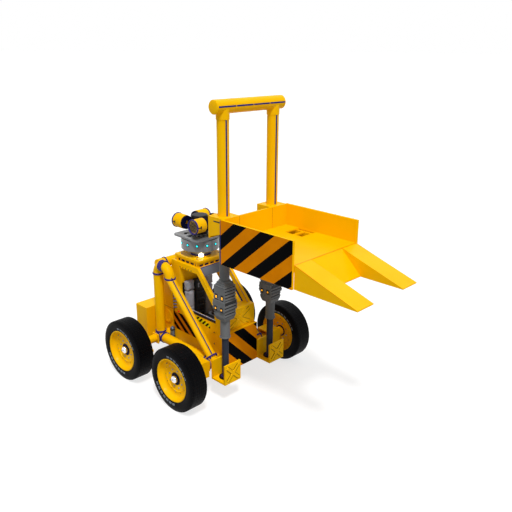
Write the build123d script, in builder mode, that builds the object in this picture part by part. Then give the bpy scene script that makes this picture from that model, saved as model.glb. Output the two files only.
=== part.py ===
from build123d import *
from math import cos, hypot, radians, sin
import os

# Forklift truck with a four-wheel tube chassis, a narrow cab, a telescopic ram mast
# and a tray with two wedge forks. Millimetres, ground at z = 0, the front is -Y,
# the driver's left is +X. The origin lies under the middle of the overall length.
os.makedirs("parts", exist_ok=True)

# Wheels
wheel_radius = 462
tyre_width = 281
wheelbase = 1200
front_axle_setback = 108
wheel_side_gap = 75.5
tyre_crown_width = 233
tyre_shoulder_drop = 20
rim_radius = 308
rim_wall = 14
rim_inset = 8
tyre_fit = 0.3
dish_depth = 84
disc_thickness = 14
hub_radius = 70
hub_inner_length = 70
hub_cap_radius = 55
hub_cap_rise = 46
hub_cap_end_radius = 43
hub_cap_straight = 34
bore_cover = 6
spindle_radius = 40
bearing_clearance = 0.5
spindle_end_gap = 2

# Body and cab
body_half_width = 300
body_wall = 12
body_bottom = 312
cab_floor_top = 596
body_front = 330
rear_overhang = 162
tub_opening_side = 60
tub_opening_end = 120
panel_depth = 60
panel_bottom = 304
panel_top = 906
panel_rim = 24
panel_rib_depth = 40
nose_top = 1200
nose_depth = 170
nose_wall = 16
sill_height = 1035
side_wall_thickness = 20
pillar_foot_setback = 84
pillar_run = 488
pillar_depth = 84
pillar_width = 60
pillar_lap = 20
window_margin = 40
window_head_margin = 30
roof_top = 1740
roof_rail_height = 60
door_post_setback = 200
header_drop = 5
header_height = 104
header_thickness = 18
header_fit = 0.3
rear_wall_thickness = 20
rear_box_depth = 190
rear_box_height = 288
cab_clearance = 2

# Engine bay
axle_setback = 138
engine_housing_top = 1500
engine_side_gap = 68
engine_gap = 16
engine_top = 1080
boss_outer_radius = 112
boss_rise = 14
boss_height = 756
louvre_count = 5
louvre_pitch = 50
louvre_height = 22
louvre_length = 70
louvre_margin = 10
louvre_bottom = 925

# Seat and steering column
seat_side_gap = 18
seat_pedestal_height = 130
seat_pedestal_inset = 40
cushion_height = 120
knee_gap = 160
seat_back_setback = 320
seat_back_thickness = 110
seat_back_rise = 588
seat_gap = 0.3
steering_setback = 270
steering_rise = 440
steering_lean = 130
steering_tube_radius = 28
steering_wheel_radius = 150
steering_grip_size = 26

# Roof plate and beacon
roof_plate_half = 280
roof_plate_setback = 326
roof_plate_gap = 70
roof_plate_thickness = 30
roof_plate_corner = 22
spacer_radius = 18
spacer_edge = 2
spacer_inset = 60
neck_radius = 138
neck_height = 95
drum_radius = 287
drum_height = 175
drum_chamfer = 13
turret_plate_half = 290
turret_plate_gap = 15
turret_plate_thickness = 25
turret_plate_corner = 60
plate_slot_count = 8
plate_slot_length = 96
plate_slot_width = 46
plate_slot_radius = 213
turret_hub_radius = 118
lamp_axis_rise = 200
lamp_radius = 114
lamp_length = 190
lamp_side_offset = 190
lamp_back_offset = 70
lamp_rim_width = 16
lamp_rim_rise = 8
lamp_collar_radius = 92
lamp_collar_length = 45
lens_depth = 20
lens_edge = 10
swivel_radius = 40
swivel_gap = 0.3

# Tube frame on both sides of the body
frame_tube_radius = 75
frame_side_gap = 85
socket_reach = 95
barrel_step = 2
bend_gores = 3
corner_z = 1665
corner_bend = 138
front_bend = 155
corner_tee_setback = 20
corner_tee_rise = 3
corner_tee_reach = 115

# Axles and steering
flange_stand_off = 21
axle_flange_thickness = 24
axle_tube_radius = 63
axle_tube_length = 212
carrier_gap = 46
carrier_width = 224
carrier_half_length = 138
carrier_drop = 116
carrier_rise = 136
carrier_wall = 22
kingpin_radius = 20
kingpin_boss_radius = 55
kingpin_boss_height = 150
knuckle_gap = 5
knuckle_ear_thickness = 30
knuckle_spine_thickness = 32
knuckle_reach = 62
steering_arm_length = 160
steering_arm_width = 60
tie_rod_drop = 88
tie_rod_radius = 18
tie_rod_eye_radius = 34
tie_rod_eye_height = 40
tie_pin_radius = 14

# Counterweight
counterweight_half_width = 600
counterweight_depth = 300
counterweight_top = 924
counterweight_chamfer = 24
tow_slot_half_width = 60
tow_slot_depth = 80
tow_slot_bottom = 430
tow_slot_height = 70
tow_lip = 40
tow_pin_radius = 17

# Telescopic rams
ram_offset = 152
ram_y = 150
lower_rod_radius = 49
lower_rod_top = 2450
foot_radius = 89.5
foot_hole_radius = 90
foot_height = 40
middle_tube_radius = 68
middle_bore_radius = 52
middle_bottom = 965
middle_top = 3130
middle_cap = 30
mast_tube_radius = 79
mast_bore_radius = 70
mast_height = 1218
gland_height = 60
slide_fit = 0.3

# Brackets at the foot of the rams
bracket_width = 300
bracket_plate = 28
bracket_front = 0
bracket_rear = 285
bracket_height = 300
emboss_rise = 8
emboss_width = 46

# Housings on the middle tubes
housing_bottom = 1245
housing_taper_height = 55
lower_band_foot_half = 84
lower_band_half = 103
lower_band_height = 100
upper_band_half = 117
upper_band_height = 142
head_half = 103
head_height = 203
head_step_half = 88
head_step_height = 30
head_cap_half = 78
head_cap_height = 25
upper_fin_start = 26
head_fin_start = 60
fin_count = 5
fin_slot = 9
fin_pitch = 20
fin_depth = 7
fin_share = 0.8

# Carriage with its tray and forks
tray_half_width = 600
tray_length = 1200
tray_floor_top = 2412
tray_floor_thickness = 20
tray_panel_thickness = 34
tray_depth = 300
tray_panel_rise = 300
tray_wall_thickness = 25
floor_hole_width = 284
floor_hole_length = 300
floor_hole_setback = 240
joist_height = 80
joist_width = 40
fork_inner_x = 300
fork_length = 900
fork_plate = 14
fork_tip_height = 14
apron_length = 300
carriage_bracket_rear = 290
carriage_plate = 30
carriage_bore_gap = 2
crossbar_radius = 89
crossbar_rise = 155
crossbar_overhang = 148
tee_radius = 86
tee_bore_depth = 60

# Air reservoir on the right side of the tub
canister_radius = 36
canister_bottom = 440
canister_height = 170
canister_gap = 2
strap_width = 24
strap_half_height = 12
strap_margin = 45

# Stations along the truck
front_axle_y = body_front + front_axle_setback
rear_axle_y = front_axle_y + wheelbase
engine_housing_front = rear_axle_y - axle_setback
body_rear = rear_axle_y + rear_overhang
counterweight_rear = body_rear + counterweight_depth
roof_plate_y = engine_housing_front - roof_plate_setback

# Stations across the truck, and heights
wall_inner = body_half_width - side_wall_thickness
frame_x = body_half_width + frame_side_gap + frame_tube_radius
ram_x = body_half_width + ram_offset
axle_flange_x = frame_x + frame_tube_radius + flange_stand_off
carrier_inner_x = axle_flange_x + axle_flange_thickness + carrier_gap
carrier_outer_x = carrier_inner_x + carrier_width
kingpin_x = axle_flange_x + axle_tube_length
wheel_x = carrier_outer_x + wheel_side_gap + tyre_width / 2
roof_rail_bottom = roof_top - roof_rail_height
tray_panel_bottom = tray_floor_top - tray_depth
tray_panel_top = tray_floor_top + tray_panel_rise
mast_top = tray_panel_top + mast_height


def block(x0, x1, y0, y1, z0, z1, mode=Mode.ADD):
    """A box between two corners, added to or cut from the part being built."""
    with Locations(((x0 + x1) / 2, (y0 + y1) / 2, (z0 + z1) / 2)):
        Box(x1 - x0, y1 - y0, z1 - z0, mode=mode)


def rod(start, direction, radius, length, mode=Mode.ADD):
    """A round bar from a start point along a direction."""
    with Locations(Plane(origin=start, z_dir=direction)):
        Cylinder(radius, length, align=(Align.CENTER, Align.CENTER, Align.MIN), mode=mode)


def side_plate(points, x0, x1, mode=Mode.ADD):
    """A plate between two x planes whose outline is given as (y, z) points."""
    with BuildSketch(Plane.YZ.offset(x0)) as outline:
        with BuildLine():
            Polyline(*points, close=True)
        make_face()
    extrude(outline.sketch, amount=x1 - x0, mode=mode)


def keep(name, part):
    """Label a finished piece and write it to its own file."""
    part.label = name
    export_step(part, f"parts/{name}.step")


# Wheels: a revolved tyre on a dished steel rim, made once for each corner.
# Columns: corner name, side of the truck, station of the axle
wheel_corners = [
    ("front_right", -1, front_axle_y),
    ("front_left", 1, front_axle_y),
    ("rear_right", -1, rear_axle_y),
    ("rear_left", 1, rear_axle_y),
]
tyre_half = tyre_width / 2
crown_half = tyre_crown_width / 2
shoulder_radius = wheel_radius - tyre_shoulder_drop
rim_half = tyre_half - rim_inset
disc_face_x = tyre_half - dish_depth
disc_back_x = disc_face_x - disc_thickness
bore_radius = spindle_radius + bearing_clearance
bore_end_x = disc_face_x + bore_cover

for corner, side, axle_y in wheel_corners:
    wheel_centre = (side * wheel_x, axle_y, wheel_radius)
    section = Plane(origin=wheel_centre, x_dir=(side, 0, 0), z_dir=(0, -side, 0))
    wheel_axis = Axis(wheel_centre, (1, 0, 0))

    with BuildPart() as tyre:
        with BuildSketch(section):
            with BuildLine():
                Polyline((-tyre_half, rim_radius + tyre_fit), (tyre_half, rim_radius + tyre_fit),
                         (tyre_half, shoulder_radius), (crown_half, wheel_radius),
                         (-crown_half, wheel_radius), (-tyre_half, shoulder_radius), close=True)
            make_face()
        revolve(axis=wheel_axis)
    keep(f"tyre_{corner}", tyre.part)

    with BuildPart() as rim:
        with BuildSketch(section):
            with BuildLine():
                Polyline((-rim_half, rim_radius), (rim_half, rim_radius), (rim_half, rim_radius - rim_wall),
                         (disc_face_x, rim_radius - rim_wall), (disc_face_x, hub_cap_radius),
                         (disc_face_x + hub_cap_straight, hub_cap_radius),
                         (disc_face_x + hub_cap_rise, hub_cap_end_radius), (disc_face_x + hub_cap_rise, 0),
                         (bore_end_x, 0), (bore_end_x, bore_radius), (-hub_inner_length, bore_radius),
                         (-hub_inner_length, hub_radius), (disc_back_x, hub_radius),
                         (disc_back_x, rim_radius - rim_wall), (-rim_half, rim_radius - rim_wall),
                         close=True)
            make_face()
        revolve(axis=wheel_axis)
    keep(f"rim_{corner}", rim.part)

# Tub: the folded floor of the body, with the cab floor over it and an open engine bay.
bay_front = engine_housing_front - body_wall
with BuildPart() as chassis_tub:
    block(-body_half_width, body_half_width, body_front, body_rear, body_bottom, cab_floor_top)
    block(-body_half_width + body_wall, body_half_width - body_wall, body_front + body_wall,
          bay_front, body_bottom + body_wall, cab_floor_top - body_wall, Mode.SUBTRACT)
    block(-body_half_width + body_wall, body_half_width - body_wall, engine_housing_front,
          body_rear - body_wall, body_bottom + body_wall, cab_floor_top, Mode.SUBTRACT)
    block(-body_half_width + tub_opening_side, body_half_width - tub_opening_side,
          body_front + tub_opening_end, bay_front - tub_opening_end,
          body_bottom, body_bottom + body_wall, Mode.SUBTRACT)
keep("chassis_tub", chassis_tub.part)

# Front panel: a pressed cover that stands proud of the body under the nose.
panel_front = body_front - panel_depth
with BuildPart() as front_panel:
    block(-body_half_width, body_half_width, panel_front, body_front, panel_bottom, panel_top)
    block(-body_half_width + panel_rim, body_half_width - panel_rim, panel_front + panel_rim, body_front,
          panel_bottom + panel_rim, panel_top - panel_rim, Mode.SUBTRACT)
    for rib_z in (cab_floor_top, (cab_floor_top + panel_top) / 2):
        block(-body_half_width + panel_rim, body_half_width - panel_rim, body_front - panel_rib_depth,
              body_front, rib_z - body_wall, rib_z)
keep("front_panel", front_panel.part)


def crossed_emboss(x_centre, z_centre, half, face_y):
    """The raised saltire that stiffens a square panel, proud of its front face."""
    for turn in (45, -45):
        face = Plane(origin=(x_centre, face_y, z_centre), x_dir=(1, 0, 0), z_dir=(0, -1, 0))
        with BuildSketch(face) as arm:
            Rectangle(2 * half, emboss_width, rotation=turn)
        extrude(arm.sketch, amount=emboss_rise, taper=20)


# Nose box: the sheet-metal dash shell in front of the driver's feet.
nose_bottom = panel_top
nose_rear = body_front + nose_depth
nose_mid_z = (nose_bottom + nose_top) / 2
with BuildPart() as nose_box:
    block(-body_half_width, body_half_width, body_front, nose_rear, nose_bottom, nose_top)
    block(-body_half_width + nose_wall, body_half_width - nose_wall, body_front + nose_wall,
          nose_rear, nose_bottom, nose_top - nose_wall, Mode.SUBTRACT)
    crossed_emboss(0, nose_mid_z, (nose_top - nose_bottom) * 0.56, body_front)
keep("nose_box", nose_box.part)

# Cab sides: one sheet each, with the window cut and a square pillar along its front edge.
pillar_foot_y = body_front + pillar_foot_setback
pillar_slope = pillar_run / (roof_top - nose_top)
pillar_top_y = pillar_foot_y + (roof_rail_bottom - nose_top) * pillar_slope
window_front_y = pillar_foot_y + pillar_depth
window_top_front_y = pillar_top_y + pillar_depth
window_top = roof_rail_bottom - window_head_margin
door_post_front = engine_housing_front - door_post_setback
slat_front = engine_housing_front - louvre_margin - louvre_length
slat_rear = engine_housing_front - louvre_margin
with BuildPart() as cab_side_walls:
    side_plate([(body_front, cab_floor_top), (engine_housing_front, cab_floor_top),
                (engine_housing_front, roof_rail_bottom), (pillar_top_y, roof_rail_bottom),
                (pillar_foot_y, nose_top), (nose_rear, nose_top), (nose_rear, nose_bottom),
                (body_front, nose_bottom)], wall_inner, body_half_width)
    side_plate([(nose_rear, nose_top), (pillar_foot_y, nose_top), (pillar_top_y, roof_rail_bottom),
                (window_top_front_y, roof_rail_bottom), (window_front_y + pillar_lap, nose_top)],
               body_half_width - pillar_width, body_half_width)
    block(body_half_width - pillar_width, body_half_width, door_post_front,
          door_post_front + pillar_width, cab_floor_top, roof_rail_bottom)
    side_plate([(nose_rear + window_margin, sill_height), (door_post_front, sill_height),
                (door_post_front, window_top), (window_top_front_y - pillar_lap, window_top),
                (window_front_y + window_margin, nose_top)], wall_inner, body_half_width, Mode.SUBTRACT)
    for index in range(louvre_count):
        low = louvre_bottom + index * louvre_pitch
        side_plate([(slat_front, low + louvre_height), (slat_rear, low), (slat_rear, low + louvre_height),
                    (slat_front, low + 2 * louvre_height)], wall_inner, body_half_width, Mode.SUBTRACT)
    mirror(about=Plane.YZ)
keep("cab_side_walls", cab_side_walls.part)

# Header panel: the slate strip let into the slope over the windscreen.
header_top = roof_top - header_drop
header_bottom = header_top - header_height
pillar_head_y = pillar_foot_y + pillar_run
roof_rear = engine_housing_front


def header_outline(margin):
    """The strip's corners as (y, z), grown by a margin at its back and its two ends."""
    foot_y = pillar_foot_y + (header_bottom - margin - nose_top) * pillar_slope
    head_y = pillar_foot_y + (header_top + margin - nose_top) * pillar_slope
    depth = header_thickness + margin
    return [(foot_y, header_bottom - margin), (head_y, header_top + margin),
            (head_y + depth, header_top + margin), (foot_y + depth, header_bottom - margin)]


header_half = body_half_width - pillar_width - cab_clearance
with BuildPart() as windscreen_header:
    side_plate(header_outline(0), -header_half, header_half)
keep("windscreen_header", windscreen_header.part)

# Roof frame: the ring of square rails that the pillars carry, rebated for the header.
rail = pillar_width
with BuildPart() as cab_roof_frame:
    side_plate([(pillar_top_y, roof_rail_bottom), (roof_rear, roof_rail_bottom),
                (roof_rear, roof_top), (pillar_head_y, roof_top)], -body_half_width, body_half_width)
    block(-body_half_width + rail, body_half_width - rail, pillar_head_y + rail, roof_rear - rail,
          roof_rail_bottom, roof_top, Mode.SUBTRACT)
    side_plate(header_outline(header_fit), -header_half - header_fit, header_half + header_fit,
               Mode.SUBTRACT)
keep("cab_roof_frame", cab_roof_frame.part)

# Rear wall of the cab, with the box that stands forward over the seat.
rear_wall_front = engine_housing_front - rear_wall_thickness
rear_box_front = engine_housing_front - rear_box_depth
rear_box_bottom = roof_rail_bottom - rear_box_height
rear_box_half = body_half_width - pillar_width
with BuildPart() as cab_rear_wall:
    block(-wall_inner, wall_inner, rear_wall_front, engine_housing_front, cab_floor_top, roof_rail_bottom)
    block(-rear_box_half, rear_box_half, rear_box_front, rear_wall_front, rear_box_bottom, roof_rail_bottom)
    block(-rear_box_half + body_wall, rear_box_half - body_wall, rear_box_front + body_wall, rear_wall_front,
          rear_box_bottom, roof_rail_bottom - body_wall, Mode.SUBTRACT)
keep("cab_rear_wall", cab_rear_wall.part)

# Engine housing behind the cab, open underneath over the engine block.
housing_mid_y = (engine_housing_front + body_rear) / 2
with BuildPart() as engine_housing:
    block(-body_half_width, body_half_width, engine_housing_front, body_rear,
          cab_floor_top, engine_housing_top)
    block(-body_half_width + body_wall, body_half_width - body_wall, engine_housing_front + body_wall,
          body_rear - body_wall, cab_floor_top, engine_housing_top - body_wall, Mode.SUBTRACT)
    for side in (-1, 1):
        boss_face = Plane(origin=(side * body_half_width, housing_mid_y, boss_height), z_dir=(side, 0, 0))
        with BuildSketch(boss_face):
            Circle(boss_outer_radius)
        extrude(amount=boss_rise)
keep("engine_housing", engine_housing.part)

engine_half = body_half_width - body_wall - engine_side_gap
with BuildPart() as engine_block:
    block(-engine_half, engine_half, engine_housing_front + engine_gap,
          body_rear - body_wall - engine_gap, body_bottom + body_wall, engine_top)
keep("engine_block", engine_block.part)

# Seat on its pedestal: cushion with the pedestal under it, and the upright back.
seat_half_width = wall_inner - seat_side_gap
steering_foot_y = body_front + steering_setback
cushion_front = steering_foot_y + knee_gap
cushion_bottom = cab_floor_top + seat_pedestal_height
cushion_top = cushion_bottom + cushion_height
seat_back_front = engine_housing_front - seat_back_setback
with BuildPart() as seat_pedestal:
    block(-seat_half_width + seat_pedestal_inset, seat_half_width - seat_pedestal_inset,
          cushion_front + seat_pedestal_inset, seat_back_front + seat_back_thickness,
          cab_floor_top, cushion_bottom)
keep("seat_pedestal", seat_pedestal.part)

with BuildPart() as seat_cushion:
    block(-seat_half_width, seat_half_width, cushion_front, seat_back_front - seat_gap,
          cushion_bottom + seat_gap, cushion_top)
keep("seat_cushion", seat_cushion.part)

with BuildPart() as seat_back:
    block(-seat_half_width, seat_half_width, seat_back_front, seat_back_front + seat_back_thickness,
          cushion_bottom + seat_gap, cushion_top + seat_back_rise)
keep("seat_back", seat_back.part)

# Steering column leaning back towards the seat, with its wheel.
column_top = (0, steering_foot_y + steering_lean, cab_floor_top + steering_rise)
column_way = Vector(0, steering_lean, steering_rise).normalized()
wheel_plane = Plane(origin=column_top, x_dir=(1, 0, 0), z_dir=column_way)
with BuildPart() as steering_column:
    rod(column_top, -column_way, steering_tube_radius,
        hypot(steering_lean, steering_rise) + steering_tube_radius)
    split(bisect_by=Plane.XY.offset(cab_floor_top), keep=Keep.TOP)
    with BuildSketch(wheel_plane):
        Rectangle(2 * steering_wheel_radius - steering_grip_size, steering_grip_size)
        Circle(steering_wheel_radius)
        Circle(steering_wheel_radius - steering_grip_size, mode=Mode.SUBTRACT)
        Rectangle(2 * steering_wheel_radius - steering_grip_size, steering_grip_size)
    extrude(amount=steering_grip_size / 2, both=True)
keep("steering_column", steering_column.part)

# Roof plate on short spacers over the roof frame, with the hole for the swivel pin.
plate_bottom = roof_top + roof_plate_gap
roof_plate_top = plate_bottom + roof_plate_thickness
spacer_x = body_half_width - pillar_width + spacer_edge + spacer_radius
spacer_front_y = roof_plate_y - roof_plate_half + spacer_inset
spacer_rear_y = roof_plate_y + roof_plate_half - spacer_inset
with BuildPart() as roof_plate:
    block(-roof_plate_half, roof_plate_half, roof_plate_y - roof_plate_half,
          roof_plate_y + roof_plate_half, plate_bottom, roof_plate_top)
    fillet(roof_plate.edges().filter_by(Axis.Z), roof_plate_corner)
    for x in (-spacer_x, spacer_x):
        for y in (spacer_front_y, spacer_rear_y):
            rod((x, y, roof_top), (0, 0, 1), spacer_radius, roof_plate_gap)
    rod((0, roof_plate_y, plate_bottom), (0, 0, 1), swivel_radius + bearing_clearance,
        roof_plate_thickness, Mode.SUBTRACT)
keep("roof_plate", roof_plate.part)

# Turret drum on its neck, with the swivel pin below it and the seat for the lamp plate.
neck_top = roof_plate_top + neck_height
drum_top = neck_top + drum_height
turret_plate_bottom = drum_top + turret_plate_gap
turret_plate_top = turret_plate_bottom + turret_plate_thickness
with BuildPart() as beacon_drum:
    rod((0, roof_plate_y, roof_plate_top + swivel_gap), (0, 0, 1), neck_radius, neck_height - swivel_gap)
    rod((0, roof_plate_y, plate_bottom), (0, 0, 1), swivel_radius, roof_plate_thickness + swivel_gap)
    with BuildSketch(Plane(origin=(0, roof_plate_y, 0), x_dir=(1, 0, 0), z_dir=(0, -1, 0))):
        with BuildLine():
            Polyline((0, neck_top), (drum_radius - drum_chamfer, neck_top),
                     (drum_radius, neck_top + drum_chamfer), (drum_radius, drum_top),
                     (turret_hub_radius, drum_top), (turret_hub_radius, turret_plate_bottom),
                     (0, turret_plate_bottom), close=True)
        make_face()
    revolve(axis=Axis((0, roof_plate_y, 0), (0, 0, 1)))
keep("beacon_drum", beacon_drum.part)

# Turret plate with a ring of slots cut round the hub.
with BuildPart() as beacon_plate:
    with BuildSketch(Plane(origin=(0, roof_plate_y, turret_plate_bottom))):
        RectangleRounded(2 * turret_plate_half, 2 * turret_plate_half, turret_plate_corner)
        with PolarLocations(plate_slot_radius, plate_slot_count):
            Rectangle(plate_slot_width, plate_slot_length, mode=Mode.SUBTRACT)
    extrude(amount=turret_plate_thickness)
keep("beacon_plate", beacon_plate.part)

# Lamp head: the hub column and four drum lamps set round it like a pinwheel.
# Columns: facing direction (x, y), side on which the lamp sits (x, y)
lamp_table = [((-1, 0), (0, -1)), ((0, 1), (-1, 0)), ((1, 0), (0, 1)), ((0, -1), (1, 0))]
lamp_axis_height = turret_plate_top + lamp_axis_rise
with BuildPart() as beacon_lamps:
    rod((0, roof_plate_y, turret_plate_top), (0, 0, 1), turret_hub_radius,
        lamp_axis_rise + lamp_collar_radius)
    for (face_x, face_y), (side_x, side_y) in lamp_table:
        back = Vector(side_x * lamp_side_offset + face_x * lamp_back_offset,
                      roof_plate_y + side_y * lamp_side_offset + face_y * lamp_back_offset,
                      lamp_axis_height)
        way = Vector(face_x, face_y, 0)
        rod(back, way, lamp_radius, lamp_length)
        rod(back - way * lamp_collar_length, way, lamp_collar_radius, lamp_collar_length)
        rod(back + way * (lamp_length - lamp_rim_width), way, lamp_radius + lamp_rim_rise, lamp_rim_width)
        rod(back + way * (lamp_length - lens_depth), way, lamp_radius - lens_edge, lens_depth, Mode.SUBTRACT)
keep("beacon_lamps", beacon_lamps.part)


def socket(centre, way, reach, thicker=0):
    """One socket of a cast pipe fitting, from its centre out to its mouth."""
    rod(centre, way, frame_tube_radius + thicker * barrel_step, reach)


def bend_sections(pivot_y, pivot_z, radius, first_angle):
    """Section planes of a quarter bend in gores, from an angle about its pivot."""
    planes = []
    for step in range(bend_gores + 1):
        angle = radians(first_angle + 90 * step / bend_gores)
        centre = (frame_x, pivot_y + radius * cos(angle), pivot_z + radius * sin(angle))
        planes.append(Plane(origin=centre, x_dir=(1, 0, 0), z_dir=(0, -sin(angle), cos(angle))))
    return planes


# Fittings of the tube frame: the lower junctions, and the double mitred bend at each top corner.
frame_z = wheel_radius
rear_joint = (frame_x, rear_axle_y, frame_z)
front_joint = (frame_x, front_axle_y, frame_z)
upright_top = corner_z - corner_bend
ring_y = rear_axle_y - corner_bend
elbow_y = ring_y - front_bend
elbow_bottom = corner_z - front_bend
corner_tee = (rear_axle_y - corner_tee_setback, corner_z + corner_tee_rise)
corner_sections = bend_sections(ring_y, upright_top, corner_bend, 0)
corner_sections += bend_sections(ring_y, elbow_bottom, front_bend, 90)[1:]
with BuildPart() as frame_joints:
    for joint in (rear_joint, front_joint):
        socket(joint, (-1, 0, 0), frame_x - body_half_width, 2)
        socket(joint, (1, 0, 0), axle_flange_x - frame_x, 2)
        socket(joint, (0, 0, 1), socket_reach)
    socket(rear_joint, (0, -1, 0), socket_reach, 1)
    socket(front_joint, (0, 1, 0), socket_reach, 1)
    socket(front_joint, (0, -1, 0), front_axle_y - bracket_rear, 1)
    for section in corner_sections:
        with BuildSketch(section):
            Circle(frame_tube_radius)
    loft(ruled=True)
    socket((frame_x, *corner_tee), (-1, 0, 0), corner_tee_reach)
    mirror(about=Plane.YZ)
keep("frame_joints", frame_joints.part)

# Straight tubes between the fittings.
with BuildPart() as lower_tubes:
    rod((frame_x, front_axle_y + socket_reach, frame_z), (0, 1, 0), frame_tube_radius,
        wheelbase - 2 * socket_reach)
    mirror(about=Plane.YZ)
keep("lower_tubes", lower_tubes.part)

with BuildPart() as upright_tubes:
    rod((frame_x, rear_axle_y, frame_z + socket_reach), (0, 0, 1), frame_tube_radius,
        upright_top - frame_z - socket_reach)
    mirror(about=Plane.YZ)
keep("upright_tubes", upright_tubes.part)

with BuildPart() as diagonal_tubes:
    with BuildSketch(Plane(origin=(frame_x, front_axle_y, frame_z + socket_reach))):
        Circle(frame_tube_radius)
    with BuildSketch(Plane(origin=(frame_x, elbow_y, elbow_bottom))):
        Circle(frame_tube_radius)
    loft(ruled=True)
    mirror(about=Plane.YZ)
keep("diagonal_tubes", diagonal_tubes.part)

with BuildPart() as top_cross_tube:
    cross_half = frame_x - corner_tee_reach
    rod((-cross_half, *corner_tee), (1, 0, 0), frame_tube_radius, 2 * cross_half)
keep("top_cross_tube", top_cross_tube.part)

# Front axle: a tube on each side that carries an open box with the wheel spindle.
spindle_end_x = wheel_x + bore_end_x - spindle_end_gap
hub_face_x = wheel_x - hub_inner_length - knuckle_gap
carrier_front = front_axle_y - carrier_half_length
carrier_rear = front_axle_y + carrier_half_length
carrier_bottom = wheel_radius - carrier_drop
carrier_top = wheel_radius + carrier_rise


def axle_tube(axle_y, end_x):
    """The flange on the frame's casting and the axle tube that runs out from it."""
    block(axle_flange_x, axle_flange_x + axle_flange_thickness, axle_y - frame_tube_radius,
          axle_y + frame_tube_radius, wheel_radius - frame_tube_radius, wheel_radius + frame_tube_radius)
    rod((axle_flange_x, axle_y, wheel_radius), (1, 0, 0), axle_tube_radius, end_x - axle_flange_x)


with BuildPart() as front_axle:
    block(carrier_inner_x, carrier_outer_x, carrier_front, carrier_rear, carrier_bottom, carrier_top)
    block(carrier_inner_x, carrier_outer_x - carrier_wall, carrier_front + carrier_wall,
          carrier_rear - carrier_wall, carrier_bottom + carrier_wall, carrier_top - carrier_wall,
          Mode.SUBTRACT)
    axle_tube(front_axle_y, carrier_outer_x)
    rod((carrier_outer_x, front_axle_y, wheel_radius), (1, 0, 0), spindle_radius,
        spindle_end_x - carrier_outer_x)
    rod((carrier_outer_x, front_axle_y, wheel_radius), (1, 0, 0), hub_radius, hub_face_x - carrier_outer_x)
    mirror(about=Plane.YZ)
keep("front_axle", front_axle.part)

# Rear axle: a tube on each side that ends in the boss for the kingpin.
boss_bottom = wheel_radius - kingpin_boss_height / 2
with BuildPart() as rear_axle:
    axle_tube(rear_axle_y, kingpin_x)
    rod((kingpin_x, rear_axle_y, boss_bottom), (0, 0, 1), kingpin_boss_radius, kingpin_boss_height)
    rod((kingpin_x, rear_axle_y, boss_bottom), (0, 0, 1), kingpin_radius + bearing_clearance,
        kingpin_boss_height, Mode.SUBTRACT)
    mirror(about=Plane.YZ)
keep("rear_axle", rear_axle.part)

# Steered knuckles: a C-shaped yoke round the kingpin boss, its spindle and its steering arm.
arm_y = rear_axle_y - steering_arm_length
ear_low = boss_bottom - knuckle_gap - knuckle_ear_thickness
ear_high = boss_bottom + kingpin_boss_height + knuckle_gap
tie_rod_z = ear_low - tie_rod_drop
spine_x = kingpin_x + knuckle_reach
for corner, side in (("right", -1), ("left", 1)):
    with BuildPart() as knuckle:
        for ear_z in (ear_low, ear_high):
            rod((kingpin_x, rear_axle_y, ear_z), (0, 0, 1), kingpin_boss_radius, knuckle_ear_thickness)
            block(kingpin_x, spine_x + knuckle_spine_thickness, rear_axle_y - kingpin_boss_radius,
                  rear_axle_y + kingpin_boss_radius, ear_z, ear_z + knuckle_ear_thickness)
        block(spine_x, spine_x + knuckle_spine_thickness, rear_axle_y - kingpin_boss_radius,
              rear_axle_y + kingpin_boss_radius, ear_low, ear_high + knuckle_ear_thickness)
        rod((kingpin_x, rear_axle_y, ear_low), (0, 0, 1), kingpin_radius,
            ear_high + knuckle_ear_thickness - ear_low)
        rod((spine_x, rear_axle_y, wheel_radius), (1, 0, 0), spindle_radius, spindle_end_x - spine_x)
        rod((spine_x, rear_axle_y, wheel_radius), (1, 0, 0), hub_radius, hub_face_x - spine_x)
        block(kingpin_x - steering_arm_width / 2, kingpin_x + steering_arm_width / 2, arm_y, rear_axle_y,
              ear_low, ear_low + knuckle_ear_thickness)
        rod((kingpin_x, arm_y, ear_low), (0, 0, 1), steering_arm_width / 2, knuckle_ear_thickness)
        rod((kingpin_x, arm_y, ear_low), (0, 0, -1), tie_pin_radius,
            ear_low - tie_rod_z + tie_rod_eye_height / 2)
        if side < 0:
            mirror(about=Plane.YZ, mode=Mode.REPLACE)
    keep(f"knuckle_{corner}", knuckle.part)

with BuildPart() as tie_rod:
    rod((-kingpin_x, arm_y, tie_rod_z), (1, 0, 0), tie_rod_radius, 2 * kingpin_x)
    for side in (-1, 1):
        rod((side * kingpin_x, arm_y, tie_rod_z - tie_rod_eye_height / 2), (0, 0, 1),
            tie_rod_eye_radius, tie_rod_eye_height)
    for side in (-1, 1):
        rod((side * kingpin_x, arm_y, tie_rod_z - tie_rod_eye_height / 2), (0, 0, 1),
            tie_pin_radius + bearing_clearance, tie_rod_eye_height, Mode.SUBTRACT)
keep("tie_rod", tie_rod.part)

# Counterweight: a cast block with chamfered edges. A recess down its back leaves two lips,
# which the tow pin drops through from above.
tow_lip_bottom = tow_slot_bottom - tow_lip
tow_lip_top = tow_slot_bottom + tow_slot_height + tow_lip
with BuildPart() as counterweight:
    block(-counterweight_half_width, counterweight_half_width, body_rear, counterweight_rear,
          body_bottom, counterweight_top)
    chamfer(counterweight.faces().sort_by(Axis.Y)[-1].edges(), counterweight_chamfer)
    for low, high in ((body_bottom, tow_lip_bottom), (tow_slot_bottom, tow_slot_bottom + tow_slot_height),
                      (tow_lip_top, counterweight_top)):
        block(-tow_slot_half_width, tow_slot_half_width, counterweight_rear - tow_slot_depth,
              counterweight_rear, low, high, Mode.SUBTRACT)
    rod((0, counterweight_rear - tow_slot_depth / 2, tow_lip_bottom), (0, 0, 1), tow_pin_radius,
        tow_lip_top - tow_lip_bottom, Mode.SUBTRACT)
keep("counterweight", counterweight.part)

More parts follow.
